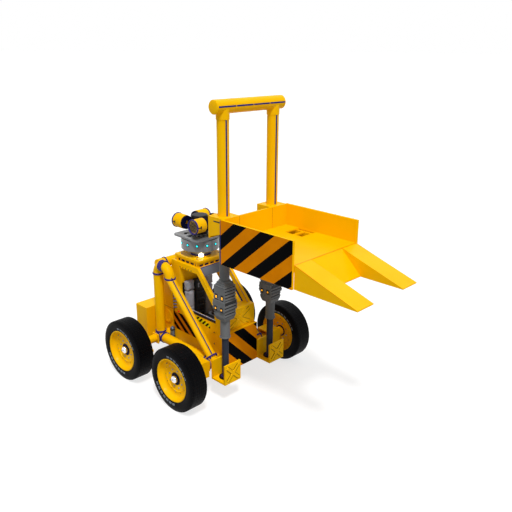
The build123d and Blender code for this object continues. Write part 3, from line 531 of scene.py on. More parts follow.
def build_tyre(mesh):
    """The carcass, then blocks raised from the tread and the shoulders."""
    tread = [(TREAD_R, x) for x in TREAD_EDGES]
    outline = SIDEWALL + tread + [(r, -x) for r, x in reversed(SIDEWALL)]
    turned(mesh, outline, ORIGIN, LEFT, TREAD_STEPS)
    bmesh.ops.recalc_face_normals(mesh, faces=mesh.faces[:])
    tread_faces = [face for face in mesh.faces if abs(face.normal.x) < 0.9
                   and face.calc_center_median().yz.length > TREAD_FROM_R]
    bmesh.ops.inset_individual(mesh, faces=tread_faces, thickness=GROOVE_MM, depth=BLOCK_MM)


DASHES, DASH_PITCH, DASH_ANGLE = 7, 11.5, 8.4


def build_dashes(mesh):
    """Seven plain dashes on each of two opposite arcs, on both sidewalls."""
    for side in (1, -1):
        for middle in (118, 298):
            for index in range(DASHES):
                start = radians(middle + (index - DASHES // 2) * DASH_PITCH - DASH_ANGLE / 2)
                outline = [(338, side * 132), (338, side * 137.6), (352, side * 139.9), (367, side * 141.4),
                           (367, side * 134)]
                turned(mesh, outline, ORIGIN, LEFT, 3, radians(DASH_ANGLE), start)


on_every_wheel("road_tyre", build_tyre, tyre_rubber, "tyre_rubber", "tyre")
on_every_wheel("sidewall_dashes", build_dashes, mark_rubber, "tyre_rubber")
print("tyre pieces", len(made_pieces))

# %% [markdown]
# ## Rims and hubs
# The rim is a pressed and welded steel wheel: a rolled flange that holds the bead, a deep smooth
# bowl, and a flat disc with a raised bead and a recess for the bolts. A pressed wheel is a body of
# revolution, so one section is spun. Its chrome cap, washers and plugs are pieces of their own.

# %% Rims
BOWL = [(62, 34), (72, 36), (80, 44), (88, 49), (98, 50), (174, 50), (182, 53), (186, 61), (190, 62.5),
        (196, 61.5), (201, 57), (228, 57), (248, 60), (264, 69), (276, 84), (284, 104), (290, 121),
        (296, 130), (302, 134), (309, 134), (313, 131), (313.5, 127), (308, 125.5)]
VALVE_TURN = Matrix.Rotation(radians(140), 4, "X")


def build_rim(mesh):
    """The section from the outer recess round the barrel to the inner bowl, the hub and its bore."""
    inner = [(r, -x) for r, x in reversed(BOWL) if r > 76]
    hub = [(80, -50), (76, -56), (70, -58), (70, -68), (68, -69.5), (40.6, -69.5), (40.6, 34)]
    turned(mesh, BOWL + inner + hub, ORIGIN, LEFT, 72)
    block(mesh, (56, -26, -262), (70, 26, -226), 5, VALVE_TURN)


def build_cap(mesh):
    """The domed chrome cap over the spindle's end."""
    turned(mesh, [(41, 30), (55, 30), (55, 82), (53, 90), (46, 96.5), (34, 100.5), (18, 102.2), (0, 102.5)],
           ORIGIN, LEFT, 48)


def build_washers(mesh):
    """Washers on the flat disc and on the raised bead."""
    for index in range(8):
        angle = 2 * pi * index / 8 + 0.3
        for side in (1, -1):
            hexagon_head(mesh, (side * 50, 134 * cos(angle), 134 * sin(angle)), (side, 0, 0), 17, 8)
    for index in range(5):
        angle = 2 * pi * index / 5 + 1.0
        dome(mesh, (62, 191 * cos(angle), 191 * sin(angle)), LEFT, 7, 3, 14)


def build_plugs_and_valve_shade(mesh):
    """Rubber plugs round the disc, and a black block in the valve's boss that is painted shade in the valve's
    hole.
    """
    for side in (1, -1):
        for index in range(12):
            angle = 2 * pi * index / 12
            dome(mesh, (side * 57, 214 * cos(angle), 214 * sin(angle)), (side, 0, 0), 6.5, 1.2, 12)
    # The black block is painted shade in the hole of the valve.
    block(mesh, (66, -17, -252), (72, 17, -238), 2, VALVE_TURN)


def build_seal_and_recess_shade(mesh):
    """A navy ring of painted shade in the recess that the cap sits in, and the seal round the hub on the inner
    side.
    """
    turned(mesh, [(54, 33), (54, 38), (70, 38), (78, 44), (84, 49.4), (92, 51.2), (92, 48), (76, 40), (66, 33)],
           ORIGIN, LEFT, 48)
    turned(mesh, [(69, -52), (69, -60), (80, -57), (90, -51.4), (90, -48)], ORIGIN, LEFT, 48)


on_every_wheel("pressed_rim", build_rim, yellow_enamel, "yellow_paint", "rim")
on_every_wheel("hub_cap", build_cap, chrome, "bare_steel")
on_every_wheel("wheel_washers", build_washers, bare_steel, "bare_steel")
on_every_wheel("wheel_plugs_and_valve_shade", build_plugs_and_valve_shade, black_plastic, "black_plastic")
# The navy ring in the recess round each cap is painted shade; the ring on the inner side is a seal.
on_every_wheel("hub_seal_and_recess_shade", build_seal_and_recess_shade, navy_enamel, "black_plastic")
print("wheel pieces", len(made_pieces))

# %% [markdown]
# ## Fittings of the tube frame
# The frame is made of straight tubes that plug into cast sockets, and each top corner is a pair
# of bent tubes. A bend is a circle spun a quarter turn about its pivot, so it is smooth. The
# clamp rings at the mouths are turned rings, and the narrow lines along the tubes are trims.

# %% Tube fittings
FRAME_X = 460
TUBE_R = 75
FRAME_Z = 462
REAR_Y, FRONT_Y = 1638, 438
CORNER_BEND, FRONT_BEND, RING_Y, CORNER_Z = 138, 155, 1500, 1665
ELBOW_Y, ELBOW_Z = RING_Y - FRONT_BEND, CORNER_Z - FRONT_BEND
FOOT = Vector((FRAME_X, FRONT_Y, 557))
ELBOW = Vector((FRAME_X, ELBOW_Y, ELBOW_Z))
SLOPE = (ELBOW - FOOT).normalized()


def socket(mesh, centre, axis, reach, radius=TUBE_R + 2.5, steps=48):
    """A cast socket from its centre to its softened mouth."""
    outline = [(0, -20), (radius, -20), (radius, reach - 3), (radius - 3, reach), (0, reach)]
    turned(mesh, outline, centre, axis, steps)


def bend(mesh, pivot, first_deg, radius, steps=14):
    """A quarter bend of the frame tube about a pivot, in a plane across the truck's width."""
    own = bmesh.new()
    section = bmesh.ops.create_circle(own, cap_ends=False, segments=48, radius=TUBE_R,
                                      matrix=turn_to((0, radius, 0), UP))["verts"]
    bmesh.ops.spin(own, geom=section + own.edges[:], cent=ORIGIN, axis=LEFT, angle=pi / 2,
                   steps=steps, use_merge=False, use_duplicate=False)
    bmesh.ops.holes_fill(own, edges=own.edges[:])
    join(mesh, own, Matrix.Translation(pivot) @ Matrix.Rotation(radians(first_deg), 4, "X"))


mesh = bmesh.new()
for joint_y in (REAR_Y, FRONT_Y):
    joint = (FRAME_X, joint_y, FRAME_Z)
    bmesh.ops.create_uvsphere(mesh, u_segments=40, v_segments=24, radius=TUBE_R + 5,
                              matrix=Matrix.Translation(joint))
    socket(mesh, joint, (-1, 0, 0), FRAME_X - 300)
    socket(mesh, joint, LEFT, 96)
socket(mesh, (FRAME_X, REAR_Y, FRAME_Z), UP, 95)
socket(mesh, (FRAME_X, REAR_Y, FRAME_Z), AHEAD, 95)
socket(mesh, (FRAME_X, FRONT_Y, FRAME_Z), BACK, 95)
socket(mesh, (FRAME_X, FRONT_Y, FRAME_Z), AHEAD, FRONT_Y - 285)
socket(mesh, (FRAME_X, FRONT_Y, FRAME_Z), tuple(FOOT - Vector((FRAME_X, FRONT_Y, FRAME_Z))), 95)
bend(mesh, (FRAME_X, RING_Y, CORNER_Z - CORNER_BEND), 0, CORNER_BEND)
bend(mesh, (FRAME_X, RING_Y, ELBOW_Z), 90, FRONT_BEND)
socket(mesh, (FRAME_X, REAR_Y - 20, CORNER_Z + 3), (-1, 0, 0), 115, TUBE_R + 1)
finish_both("cast_tube_fittings", mesh, yellow_enamel, "chassis", "yellow_paint", ["frame_joints"])

mesh = bmesh.new()
RINGS = [((FRAME_X, REAR_Y, 1522), UP, 26), ((FRAME_X, REAR_Y, 560), UP, 24),
         ((FRAME_X, ELBOW_Y, ELBOW_Z), UP, 26), (tuple(FOOT), tuple(SLOPE), 22),
         ((FRAME_X, 1540, FRAME_Z), BACK, 32), ((FRAME_X, 536, FRAME_Z), BACK, 24),
         ((536, REAR_Y, FRAME_Z), LEFT, 16), ((551, REAR_Y, FRAME_Z), LEFT, 6),
         ((536, FRONT_Y, FRAME_Z), LEFT, 8), ((551, FRONT_Y, FRAME_Z), LEFT, 6),
         ((347, 1618, 1668), LEFT, 18), ((FRAME_X, RING_Y, CORNER_Z), BACK, 84)]
for centre, axis, width in RINGS:
    proud = 14 if width > 50 else 11
    ring(mesh, centre, axis, TUBE_R - 2, TUBE_R + proud, width)
for lug in (-1, 1):
    block(mesh, (FRAME_X + lug * 60 - 9, FRONT_Y - 52, 556), (FRAME_X + lug * 60 + 9, FRONT_Y - 34, 584), 3)
finish_both("clamp_rings", mesh, violet_enamel, "chassis", "header_paint")

mesh = bmesh.new()
trim(mesh, FOOT + SLOPE * 14, ELBOW - SLOPE * 12, (0.35, -0.72, 0.69), TUBE_R, 13)
for low, high in ((590, 850), (880, 1190), (1215, 1500)):
    trim(mesh, (FRAME_X, REAR_Y, low), (FRAME_X, REAR_Y, high), (0.55, 0.83, 0), TUBE_R, 11)
trim(mesh, (FRAME_X, 560, FRAME_Z), (FRAME_X, 1520, FRAME_Z), (0.3, 0, -1), TUBE_R, 11)
for axle_y in (FRONT_Y, REAR_Y):
    trim(mesh, (592, axle_y, FRAME_Z), (618, axle_y, FRAME_Z), (0, -0.4, -1), 63, 11)
finish_both("tube_seam_lines", mesh, blue_enamel, "chassis", "header_paint")
print("frame pieces", len(made_pieces))

# %% [markdown]
# ## Mast tubes and crossbar
# The tubes of the carriage carry a blue line from the brackets to the crossbar, and a stop ring
# sits just under each tee. The crossbar has seams where its lengths were welded, a line along
# its front, and pressed domes that close its ends. The lines could be painted in the material,
# but as thin strips they catch the light at their edges and stay straight on a round tube.

# %% Mast lines and rings
MAST_X, MAST_Y = 452, 150
MAST_R, BAR_R, BAR_Z = 79, 89, 4085

mesh = bmesh.new()
for side in (-1, 1):
    trim(mesh, (side * MAST_X, MAST_Y, 2716), (side * MAST_X, MAST_Y, 3992), (-0.17, -0.98, 0), MAST_R, 21)
for low, high in ((-590, -306), (-294, -6), (6, 294), (306, 590)):
    trim(mesh, (low, MAST_Y, BAR_Z), (high, MAST_Y, BAR_Z), (0, -1, 0.05), BAR_R, 19)
for side in (-1, 1):
    trim(mesh, (side * 634, 21, 2116), (side * 634, 21, 2708), (side, 0, 0), 0, 9, 2)
finish_piece("mast_seam_lines", mesh, blue_enamel, "carriage", "header_paint")

mesh = bmesh.new()
for side in (-1, 1):
    ring(mesh, (side * MAST_X, MAST_Y, 3968), UP, MAST_R - 2, MAST_R + 6, 26)
    outline = [(0, -4), (BAR_R - 1, -4), (BAR_R - 1, 1), (BAR_R - 5, 6), (BAR_R - 22, 10), (40, 13), (0, 14)]
    turned(mesh, outline, (side * 600, MAST_Y, BAR_Z), (side, 0, 0), 48)
for seam_x in (-300, 0, 300):
    ring(mesh, (seam_x, MAST_Y, BAR_Z), LEFT, BAR_R - 2, BAR_R + 1.6, 8)
finish_piece("mast_rings", mesh, yellow_enamel, "carriage", "yellow_paint")
print("mast pieces", len(made_pieces))

# %% [markdown]
# ## Tray details
# The wedge forks are welded to the deck, and the weld is ground and painted, which leaves a
# narrow orange line across the joint. The back wall has a scribed joint, and under the top of
# each carriage bracket's cheek plate a black slot is painted shade in the hole where the lifting
# pin passes. A plate is one outline pulled out to its thickness, because it has more than four corners.

# %% Tray trims


def side_plate(mesh, outline, inner_x, outer_x):
    """A flat plate across the truck's width, cut to an outline of (y, z) points."""
    own = bmesh.new()
    face = own.faces.new([own.verts.new((inner_x, y, z)) for y, z in outline])
    raised = bmesh.ops.extrude_face_region(own, geom=[face])["geom"]
    bmesh.ops.translate(own, vec=(outer_x - inner_x, 0, 0),
                        verts=[item for item in raised if isinstance(item, bmesh.types.BMVert)])
    join(mesh, own)


mesh = bmesh.new()
trim(mesh, (-596, -1200, 2412), (596, -1200, 2412), UP, 0, 11, 1.2)
for side in (-1, 1):
    trim(mesh, (side * 598, -1206, 2409), (side * 598, -2070, 2128), (side, 0, 0.4), 0, 7, 2.5)
    trim(mesh, (side * 302, -1206, 2409), (side * 302, -2070, 2128), (-side, 0, 0.4), 0, 5, 1.5)
trim(mesh, (-300, -1500, 2115), (300, -1500, 2115), (0, -1, 0.4), 0, 5, 1.5)
finish_piece("tray_weld_lines", mesh, seam_enamel, "carriage", "yellow_paint")

# Black slots under the tops of the cheek plates are painted shade in the pin holes; the thin black lines stand
# at the brackets' inner edges.
mesh = bmesh.new()
for side in (-1, 1):
    trim(mesh, (side * 311, 0, 2416), (side * 311, 0, 2706), AHEAD, 0, 3, 1)
    low_x, high_x = sorted((side * 597, side * 602.5))
    block(mesh, (low_x, 66, 2650), (high_x, 184, 2666), 1)
finish_piece("carriage_edge_lines_and_slot_shade", mesh, black_plastic, "carriage", "black_plastic")

mesh = bmesh.new()
side_plate(mesh, [(288, 2684), (27, 2684), (27, 2512), (288, 2428)], 591, 600.5)
finish_both("carriage_cheek_plates", mesh, yellow_enamel, "carriage", "yellow_paint")

mesh = bmesh.new()
for side in (-1, 1):
    for along in (-1120, -840, -560, -280):
        hexagon_head(mesh, (side * 617, along, 2712), UP, 11, 5)
    for x in (345, 555):
        for y in (70, 245):
            hexagon_head(mesh, (side * x, y, 2712), UP, 16, 8)
finish_piece("tray_bolts", mesh, yellow_enamel, "carriage", "yellow_paint")

mesh = bmesh.new()
for along in range(-1080, -60, 240):
    block(mesh, (-560, along - 22, 2372), (560, along + 22, 2394), 4)
for x in (-200, 200):
    block(mesh, (x - 18, -1180, 2362), (x + 18, -20, 2393), 4)
finish_piece("tray_floor_stiffeners", mesh, yellow_enamel, "carriage", "yellow_paint")
print("tray pieces", len(made_pieces))

# %% [markdown]
# ## Ram housings, glands and feet
# Each housing is a cast block with cooling ribs across its front and back. Small amber lamps
# look out of dark pockets on its sides. Where the rod leaves its foot there is a wiper ring, and
# a black ring on the bracket's floor is both a seal and painted shade in the opening round the
# foot. The ribs are separate rounded bars in front of a black plate, painted shade for the gaps between cast
# ribs.

# %% Housings
# Columns: lowest and highest point of a band, half its width
HOUSING_BANDS = [(1300, 1400, 103), (1400, 1542, 117), (1542, 1745, 103)]
RIB_PITCH, RIB_PROUD, RIB_HALF = 46, 7, 14
BAND_EDGE = 8

mesh = bmesh.new()
for low, high, half in HOUSING_BANDS:
    for index in range(int((high - low - BAND_EDGE) / RIB_PITCH)):
        middle = low + BAND_EDGE + (index + 0.5) * RIB_PITCH
        for face in (-1, 1):
            turn = Matrix.Translation((MAST_X, MAST_Y + face * half, middle))
            block(mesh, (-half - 2, -RIB_PROUD, -RIB_HALF), (half + 2, RIB_PROUD, RIB_HALF), 4, turn)
for low, half in ((1286, 96), (1558, 107), (1738, 107)):
    block(mesh, (MAST_X - half, MAST_Y - half, low), (MAST_X + half, MAST_Y + half, low + 14), 5)
for z, radius in ((1808, 84), (978, 77)):
    ring(mesh, (MAST_X, MAST_Y, z), UP, 67, radius, 18)
finish_both("housing_ribs", mesh, grey_enamel, "lift_stage", "grey_paint")

# A black plate just behind each band of ribs: painted shade in the gaps between them.
mesh = bmesh.new()
for low, high, half in HOUSING_BANDS:
    for face in (-1, 1):
        wall = sorted((MAST_Y + face * (half - 2), MAST_Y + face * (half + 1)))
        block(mesh, (MAST_X - half + 14, wall[0], low + BAND_EDGE),
              (MAST_X + half - 14, wall[1], high - BAND_EDGE))
finish_both("housing_rib_shadows", mesh, black_plastic, "lift_stage", "black_plastic")

# Columns: half width of the housing there, height of the lamps, half their height, faces they are on
LAMP_ROWS = [(103, 1590, 20, (1,)), (117, 1424, 12, (-1, 1))]


def blocks_at_lamps(deep, across, spare, round_mm, segments):
    """A rounded block at each lamp of both housings, larger than the lamp by the spare height."""
    mesh = bmesh.new()
    for half, middle, tall, faces in LAMP_ROWS:
        for face in faces:
            x, reach = MAST_X + face * half, tall + spare
            for y in (MAST_Y - 58, MAST_Y + 58):
                block(mesh, (x - deep, y - across, middle - reach), (x + deep, y + across, middle + reach),
                      round_mm, segments=segments)
    mirrored(mesh)
    return mesh


finish_piece("housing_lamp_pockets", blocks_at_lamps(3, 26, 22, 2.5, 2), black_plastic, "lift_stage",
             "black_plastic")
finish_piece("housing_amber_lamps", blocks_at_lamps(8, 13, 0, 7, 3), amber_lens, "lift_stage", "lamp_paint")

# A black ring round each foot: a seal, and painted shade in the opening of the bracket's floor.
mesh = bmesh.new()
turned(mesh, [(49.5, 353), (88, 353), (90, 350), (90, 330), (120, 330), (122, 326), (124, 328), (120, 334),
              (93, 336), (92, 355), (88, 358), (49.5, 358)], (MAST_X, MAST_Y, 0), UP, 48)
finish_both("ram_foot_seals_and_opening_shade", mesh, black_plastic, "chassis", "black_plastic")

mesh = bmesh.new()
ring(mesh, (MAST_X, MAST_Y, 360), UP, 48.5, 66, 5)
finish_both("rod_wiper_rings", mesh, violet_enamel, "chassis", "header_paint")
print("ram pieces", len(made_pieces))

# %% [markdown]
# ## Pressed crosses
# The front of the nose and of both ram brackets have a pressed cross that stiffens the sheet,
# with dark lines beside its arms, painted shade along its edges. A cross is a grid of nine faces
# without its four corners, pulled out into a low block and turned by an eighth of a turn.

# %% Crosses


def cross(mesh, centre, across, tall, arm, rise):
    """A pressed cross that leans on a face looking forward."""
    own = bmesh.new()
    bmesh.ops.create_grid(own, x_segments=3, y_segments=3, size=0.5)
    corners = [face for face in own.faces
               if min(abs(face.calc_center_median().x), abs(face.calc_center_median().y)) > 0.2]
    bmesh.ops.delete(own, geom=corners, context="FACES")
    for vert in own.verts:
        for axis in (0, 1):
            half = 0.5 if abs(vert.co[axis]) > 0.3 else arm / 2
            vert.co[axis] = half if vert.co[axis] > 0 else -half
    raised = bmesh.ops.extrude_face_region(own, geom=own.faces[:])["geom"]
    top = [item for item in raised if isinstance(item, bmesh.types.BMVert)]
    bmesh.ops.translate(own, vec=UP, verts=top)
    bmesh.ops.scale(own, vec=(0.96, 0.96, 1), verts=top)
    bmesh.ops.rotate(own, matrix=Matrix.Rotation(pi / 4, 3, "Z"), cent=ORIGIN, verts=own.verts[:])
    bmesh.ops.scale(own, vec=(across * 1.25, tall * 1.25, rise), verts=own.verts[:])
    bmesh.ops.transform(own, matrix=turn_to(centre, AHEAD), verts=own.verts[:])
    join(mesh, own)


mesh = bmesh.new()
cross(mesh, (0, 332, 1050), 420, 230, 0.2, 5)
for side in (-1, 1):
    cross(mesh, (side * 450, 2, 462), 220, 220, 0.2, 5)
finish_piece("pressed_crosses", mesh, yellow_enamel, "chassis", "yellow_paint")

ARM_HALF, MIDDLE_GAP = 26, 0.24
# Columns: the cross's centre, half its width, half its height
CROSSES = [((-450, 0, 462), 104, 104), ((450, 0, 462), 104, 104), ((0, 330, 1050), 196, 108)]

# Dark lines beside the arms of each cross: painted shade along the edges of the pressing.
mesh = bmesh.new()
for centre, half_across, half_tall in CROSSES:
    for lean in (-1, 1):
        reach = Vector((half_across, 0, lean * half_tall))
        beside = reach.cross(Vector(BACK)).normalized() * ARM_HALF
        for edge in (-1, 1):
            middle = Vector(centre) + beside * edge
            trim(mesh, middle - reach, middle - reach * MIDDLE_GAP, AHEAD, 0, 6, 5.8)
            trim(mesh, middle + reach * MIDDLE_GAP, middle + reach, AHEAD, 0, 6, 5.8)
finish_piece("cross_edge_shade_lines", mesh, cross_edge_shade_enamel, "chassis", "yellow_paint")
print("cross pieces", len(made_pieces))

# %% [markdown]
# ## Lamp turret
# The turret turns on a drum with twelve cyan marker lamps in dark red pockets. On its plate
# four work lamps look outward, each a drum with a ribbed collar behind it, a rim, a lens and a
# honeycomb guard. Round the hub is a toothed locking ring on a black seal.

# %% Drum and plate
TURRET = (0, 1174)
DRUM_LAMPS, DRUM_LAMP_Z = 12, 2040


def domes_round_drum(from_axis, radius, height, steps):
    """A dome at each lamp's place round the turret's drum."""
    mesh = bmesh.new()
    for index in range(DRUM_LAMPS):
        angle = radians(10 + 360 / DRUM_LAMPS * index)
        out = Vector((cos(angle), sin(angle), 0))
        dome(mesh, Vector((*TURRET, DRUM_LAMP_Z)) + out * from_axis, out, radius, height, steps, 6)
    return mesh


finish_piece("drum_lamp_pockets", domes_round_drum(287, 25, 3.5, 20), maroon_enamel, "chassis",
             "turret_paint")
finish_piece("drum_marker_lamps", domes_round_drum(289, 15, 8, 16), cyan_lens, "chassis", "lamp_paint")

mesh = bmesh.new()
ring(mesh, (*TURRET, 1850), UP, 136, 152, 22, 64)
ring(mesh, (*TURRET, 1926), UP, 136, 160, 18, 64)
finish_piece("turret_neck_rings", mesh, violet_enamel, "chassis", "header_paint")

mesh = bmesh.new()
turned(mesh, [(120, 2126), (262, 2126), (262, 2131), (120, 2131)], (*TURRET, 0), UP, 64)
ring(mesh, (*TURRET, 2154), UP, 117, 172, 10, 64)
finish_piece("turret_seal", mesh, black_plastic, "turret", "black_plastic")

mesh = bmesh.new()
ring(mesh, (*TURRET, 2158), UP, 117, 142, 16, 64)
for index in range(16):
    turn = Matrix.Translation((*TURRET, 2150)) @ Matrix.Rotation(2 * pi * (index + 0.5) / 16, 4, "Z")
    block(mesh, (138, -15, 1), (190 if index % 2 else 172, 15, 15), 3, turn)
finish_piece("turret_locking_teeth", mesh, turret_enamel, "turret", "turret_paint")

# %% [markdown]
# ## Work lamps
# A work lamp is a spun drum, and nearly all of it can be turned on a lathe: the shell, the ribbed
# cooling collar, the rolled rim and the lens. Its guard is a honeycomb of bent wire, made from
# short six-sided rings. One lamp is built along its own axis and set at all four places.

# %% Work lamps
LAMP_Z, LAMP_BESIDE, LAMP_OUT = 2342, 186, 100
LAMP_SLIM = Matrix.Diagonal((0.92, 0.92, 1, 1))
# Columns: the way a lamp looks, and the side of the hub that it stands on
LAMPS = [((-1, 0), (0, -1)), ((0, 1), (-1, 0)), ((1, 0), (0, 1)), ((0, -1), (1, 0))]
LAMP_FRAMES = []
for face, side in LAMPS:
    way = Vector((*face, 0))
    back = Vector((*TURRET, LAMP_Z)) + Vector((*side, 0)) * LAMP_BESIDE + way * LAMP_OUT
    LAMP_FRAMES.append((back, way))


def at_every_lamp(name, build, finish, slot, replaced=()):
    """Builds a lamp piece along +Z from the lamp's back and sets it at all four lamps."""
    mesh = bmesh.new()
    for back, way in LAMP_FRAMES:
        own = bmesh.new()
        build(own)
        join(mesh, own, turn_to(back, way) @ LAMP_SLIM)
    return finish_piece(name, mesh, finish, "turret", slot, replaced)


def lamp_shell(mesh):
    """The drum of a lamp: softened back edge, straight body, open mouth."""
    turned(mesh, [(0, -2), (96, -2), (106, 1), (112, 7), (114, 16), (114, 186), (104, 186), (104, 166),
                  (0, 166)], ORIGIN, UP, 64)


def lamp_collar(mesh):
    """The ribs of the cooling collar, and the stub that joins it to the hub."""
    turned(mesh, [(40, -46), (84, -46), (84, -40), (106, -40), (108, -37), (106, -33), (90, -32), (90, -28),
                  (108, -27), (110, -24), (108, -20), (90, -19), (90, -15), (108, -14), (110, -11), (108, -7),
                  (92, -6), (92, 2), (40, 2)], ORIGIN, UP, 56)


def lamp_rim(mesh):
    """The rolled rim round the mouth."""
    turned(mesh, [(103.5, 170), (103.5, 191), (107, 194), (119, 194), (122.5, 190), (122.5, 177), (119, 173),
                  (113.5, 173), (113.5, 170)], ORIGIN, UP, 64)


def lamp_lens(mesh):
    """A shallow domed lens behind the guard."""
    turned(mesh, [(0, 164), (103.6, 164), (103.6, 169), (80, 172), (40, 174), (0, 174.5)], ORIGIN, UP, 48)


CELL_MM, LENS_R, GUARD_R = 27.0, 104, 91


def lamp_guard(mesh):
    """A honeycomb of hexagonal rings that covers the lens."""
    rows = int(LENS_R / (CELL_MM * sqrt(3) / 2)) + 1
    for row in range(-rows, rows + 1):
        for column in range(-5, 6):
            x = (column + (row % 2) / 2) * CELL_MM
            y = row * CELL_MM * sqrt(3) / 2
            if sqrt(x * x + y * y) > GUARD_R:
                continue
            turned(mesh, [(11.2, 178), (14.6, 178), (14.6, 184), (11.2, 184)], (x, y, 0), UP, 6,
                   first=radians(30))


def lamp_latch(mesh):
    """The over-centre catch of the rim: a bar along the drum with a cross-piece."""
    for turn in (0, pi):
        about = Matrix.Rotation(turn, 4, "Z")
        block(mesh, (112, -7, 116), (119, 7, 176), 2, about)
        block(mesh, (112, -24, 112), (121, 24, 126), 3, about)


at_every_lamp("work_lamp_drums", lamp_shell, yellow_enamel, "lamp_paint", ["beacon_lamps"])
at_every_lamp("work_lamp_collars", lamp_collar, navy_enamel, "black_plastic")
at_every_lamp("work_lamp_rims", lamp_rim, violet_enamel, "lamp_paint")
at_every_lamp("work_lamp_lenses", lamp_lens, beam_lens, "lamp_paint")
at_every_lamp("work_lamp_guards", lamp_guard, black_plastic, "black_plastic")
at_every_lamp("work_lamp_latches", lamp_latch, black_plastic, "black_plastic")

mesh = bmesh.new()
turned(mesh, [(0, 2152), (126, 2152), (126, 2164), (119.5, 2170), (119.5, 2434), (110, 2444), (0, 2446)],
       (*TURRET, 0), UP, 56)
for z in (2200, 2236, 2414):
    ring(mesh, (*TURRET, z), UP, 117, 124, 12, 56)
finish_piece("turret_hub", mesh, black_plastic, "turret", "black_plastic")
print("turret pieces", len(made_pieces))

# %% [markdown]
# ## Cab trims
# The sides of the cab carry sprayed bands, tape, rubber seals, rivets and small fasteners. They
# are thin blocks and button heads set on the outer face of the body, made for the left side
# and mirrored, because the truck is the same on both sides.

# %% Cab sides
SIDE = 300
SLATS, SLAT_PITCH = 5, 50
BOSS_Y, BOSS_Z = 1650, 756


def on_side(mesh, y_low, y_high, z_low, z_high, proud=2.0, round_mm=0.8):
    """A flat plate on the outer face of the body's left side."""
    block(mesh, (SIDE - 1, y_low, z_low), (SIDE + proud, y_high, z_high), round_mm, segments=1)


mesh = bmesh.new()
side_plate(mesh, [(1498, 888), (1222, 888), (948, 602), (1498, 602)], SIDE - 1, SIDE + 2.5)
finish_both("side_striped_panels", mesh, cab_stripes, "chassis", "striped_paint")

mesh = bmesh.new()
trim(mesh, (SIDE, 640, 902), (SIDE, 950, 951), LEFT, 0, 66, 3)
finish_both("sill_hazard_strips", mesh, edge_stripes, "chassis", "striped_paint")

mesh = bmesh.new()
on_side(mesh, 520, 1296, 992, 1034, 3.0)
on_side(mesh, 1478, 1496, 604, 1500, 1.5)
for index in range(5):
    dome(mesh, (SIDE, 1300 - 64 * index, 1664), LEFT, 10, 3, 14)
for y, z in ((555, 660), (555, 840), (1440, 660), (1440, 850)):
    dome(mesh, (SIDE + 2, y, z), LEFT, 11, 4, 14)
trim(mesh, (SIDE, 1512, 913), (SIDE, 1790, 913), LEFT, 0, 5, 1.2)
trim(mesh, (SIDE, 1512, 604), (SIDE, 1512, 1490), LEFT, 0, 4, 1.2)
finish_both("side_seals_and_buttons", mesh, black_plastic, "chassis", "black_plastic")

mesh = bmesh.new()
for index in range(SLATS):
    low = 925 + SLAT_PITCH * index
    trim(mesh, (SIDE, 1418, low + 48), (SIDE, 1494, low + 24), (1, 0, 0.2), 0, 17, 5)
trim(mesh, (SIDE, 520, 1041), (SIDE, 1296, 1041), LEFT, 0, 9, 3.5)
finish_both("louvre_slats", mesh, slat_enamel, "chassis", "header_paint")

mesh = bmesh.new()
for z in (936, 1486):
    for y in range(1530, 1800, 64):
        dome(mesh, (SIDE, y, z), LEFT, 7, 3, 12)
for y in (1530, 1786):
    for z in range(1010, 1470, 76):
        dome(mesh, (SIDE, y, z), LEFT, 7, 3, 12)
turned(mesh, [(92, -2), (104, -2), (104, 3), (101, 5), (95, 5), (92, 3)], (SIDE + 14, BOSS_Y, BOSS_Z),
       LEFT, 48)
for index in range(8):
    angle = 2 * pi * index / 8
    hexagon_head(mesh, (SIDE + 14, BOSS_Y + 76 * cos(angle), BOSS_Z + 76 * sin(angle)), LEFT, 13, 6)
finish_both("housing_rivets", mesh, yellow_enamel, "chassis", "yellow_paint")

mesh = bmesh.new()
block(mesh, (SIDE - 1, 1350, 905), (SIDE + 9, 1392, 927), 4)
finish_both("side_marker_lamps", mesh, red_lens, "chassis", "lamp_paint")

mesh = bmesh.new()
for side in (-1, 1):
    turned(mesh, [(0, -3), (46, -3), (46, 6), (38, 12), (20, 15), (0, 16)], (side * 430, 2100, 820), BACK, 36)
finish_piece("tail_lamps", mesh, red_lens, "chassis", "lamp_paint")

# %% [markdown]
# ## Cab top, pillars and interior
# Rubber seals line the pillars, and the roof plate stands on a frame above the cab; a grid of
# navy bars in the gap under it is painted shade. The plate carries a small courtesy lamp, a warm
# dome in a turned bezel, and pressed marks where its fixings were filled. Inside, a dark lining with buttons
# covers the bare sheet.

# %% Cab top, pillars and interior
PILLAR_FOOT, PILLAR_HEAD = Vector((243, 414, 1204)), Vector((243, 900, 1738))
PILLAR_FRONT = Vector((0, -540, 488))
ROOF_Z = 1840
COURTESY_LAMP = (-108, 1036, ROOF_Z)
ROOF_SHADE_GRID_PITCH = 104

mesh = bmesh.new()
trim(mesh, PILLAR_FOOT, PILLAR_HEAD, PILLAR_FRONT, 0, 7, 2)
mirrored(mesh)
trim(mesh, (-238, 896, 1737), (238, 896, 1737), PILLAR_FRONT, 0, 8, 3)
for x, y in ((-212, 1005), (212, 1005), (-212, 1360), (212, 1360)):
    dome(mesh, (x, y, ROOF_Z), UP, 12, 6, 16)
finish_piece("pillar_seals_and_roof_bolts", mesh, violet_enamel, "chassis", "header_paint")

mesh = bmesh.new()
block(mesh, (-254, 920, 1741), (254, 1428, 1804), 3)
finish_piece("roof_gap_lining", mesh, yellow_enamel, "chassis", "yellow_paint")

# A grid of navy bars in the gap under the roof plate: painted shade.
mesh = bmesh.new()
for step in range(-2, 3):
    x, y = step * ROOF_SHADE_GRID_PITCH, 1174 + step * ROOF_SHADE_GRID_PITCH
    block(mesh, (x - 34, 917, 1746), (x + 34, 1431, 1774), 3)
    block(mesh, (-257, y - 34, 1746), (257, y + 34, 1774), 3)
finish_piece("roof_gap_shade_grid", mesh, navy_enamel, "chassis", "black_plastic")

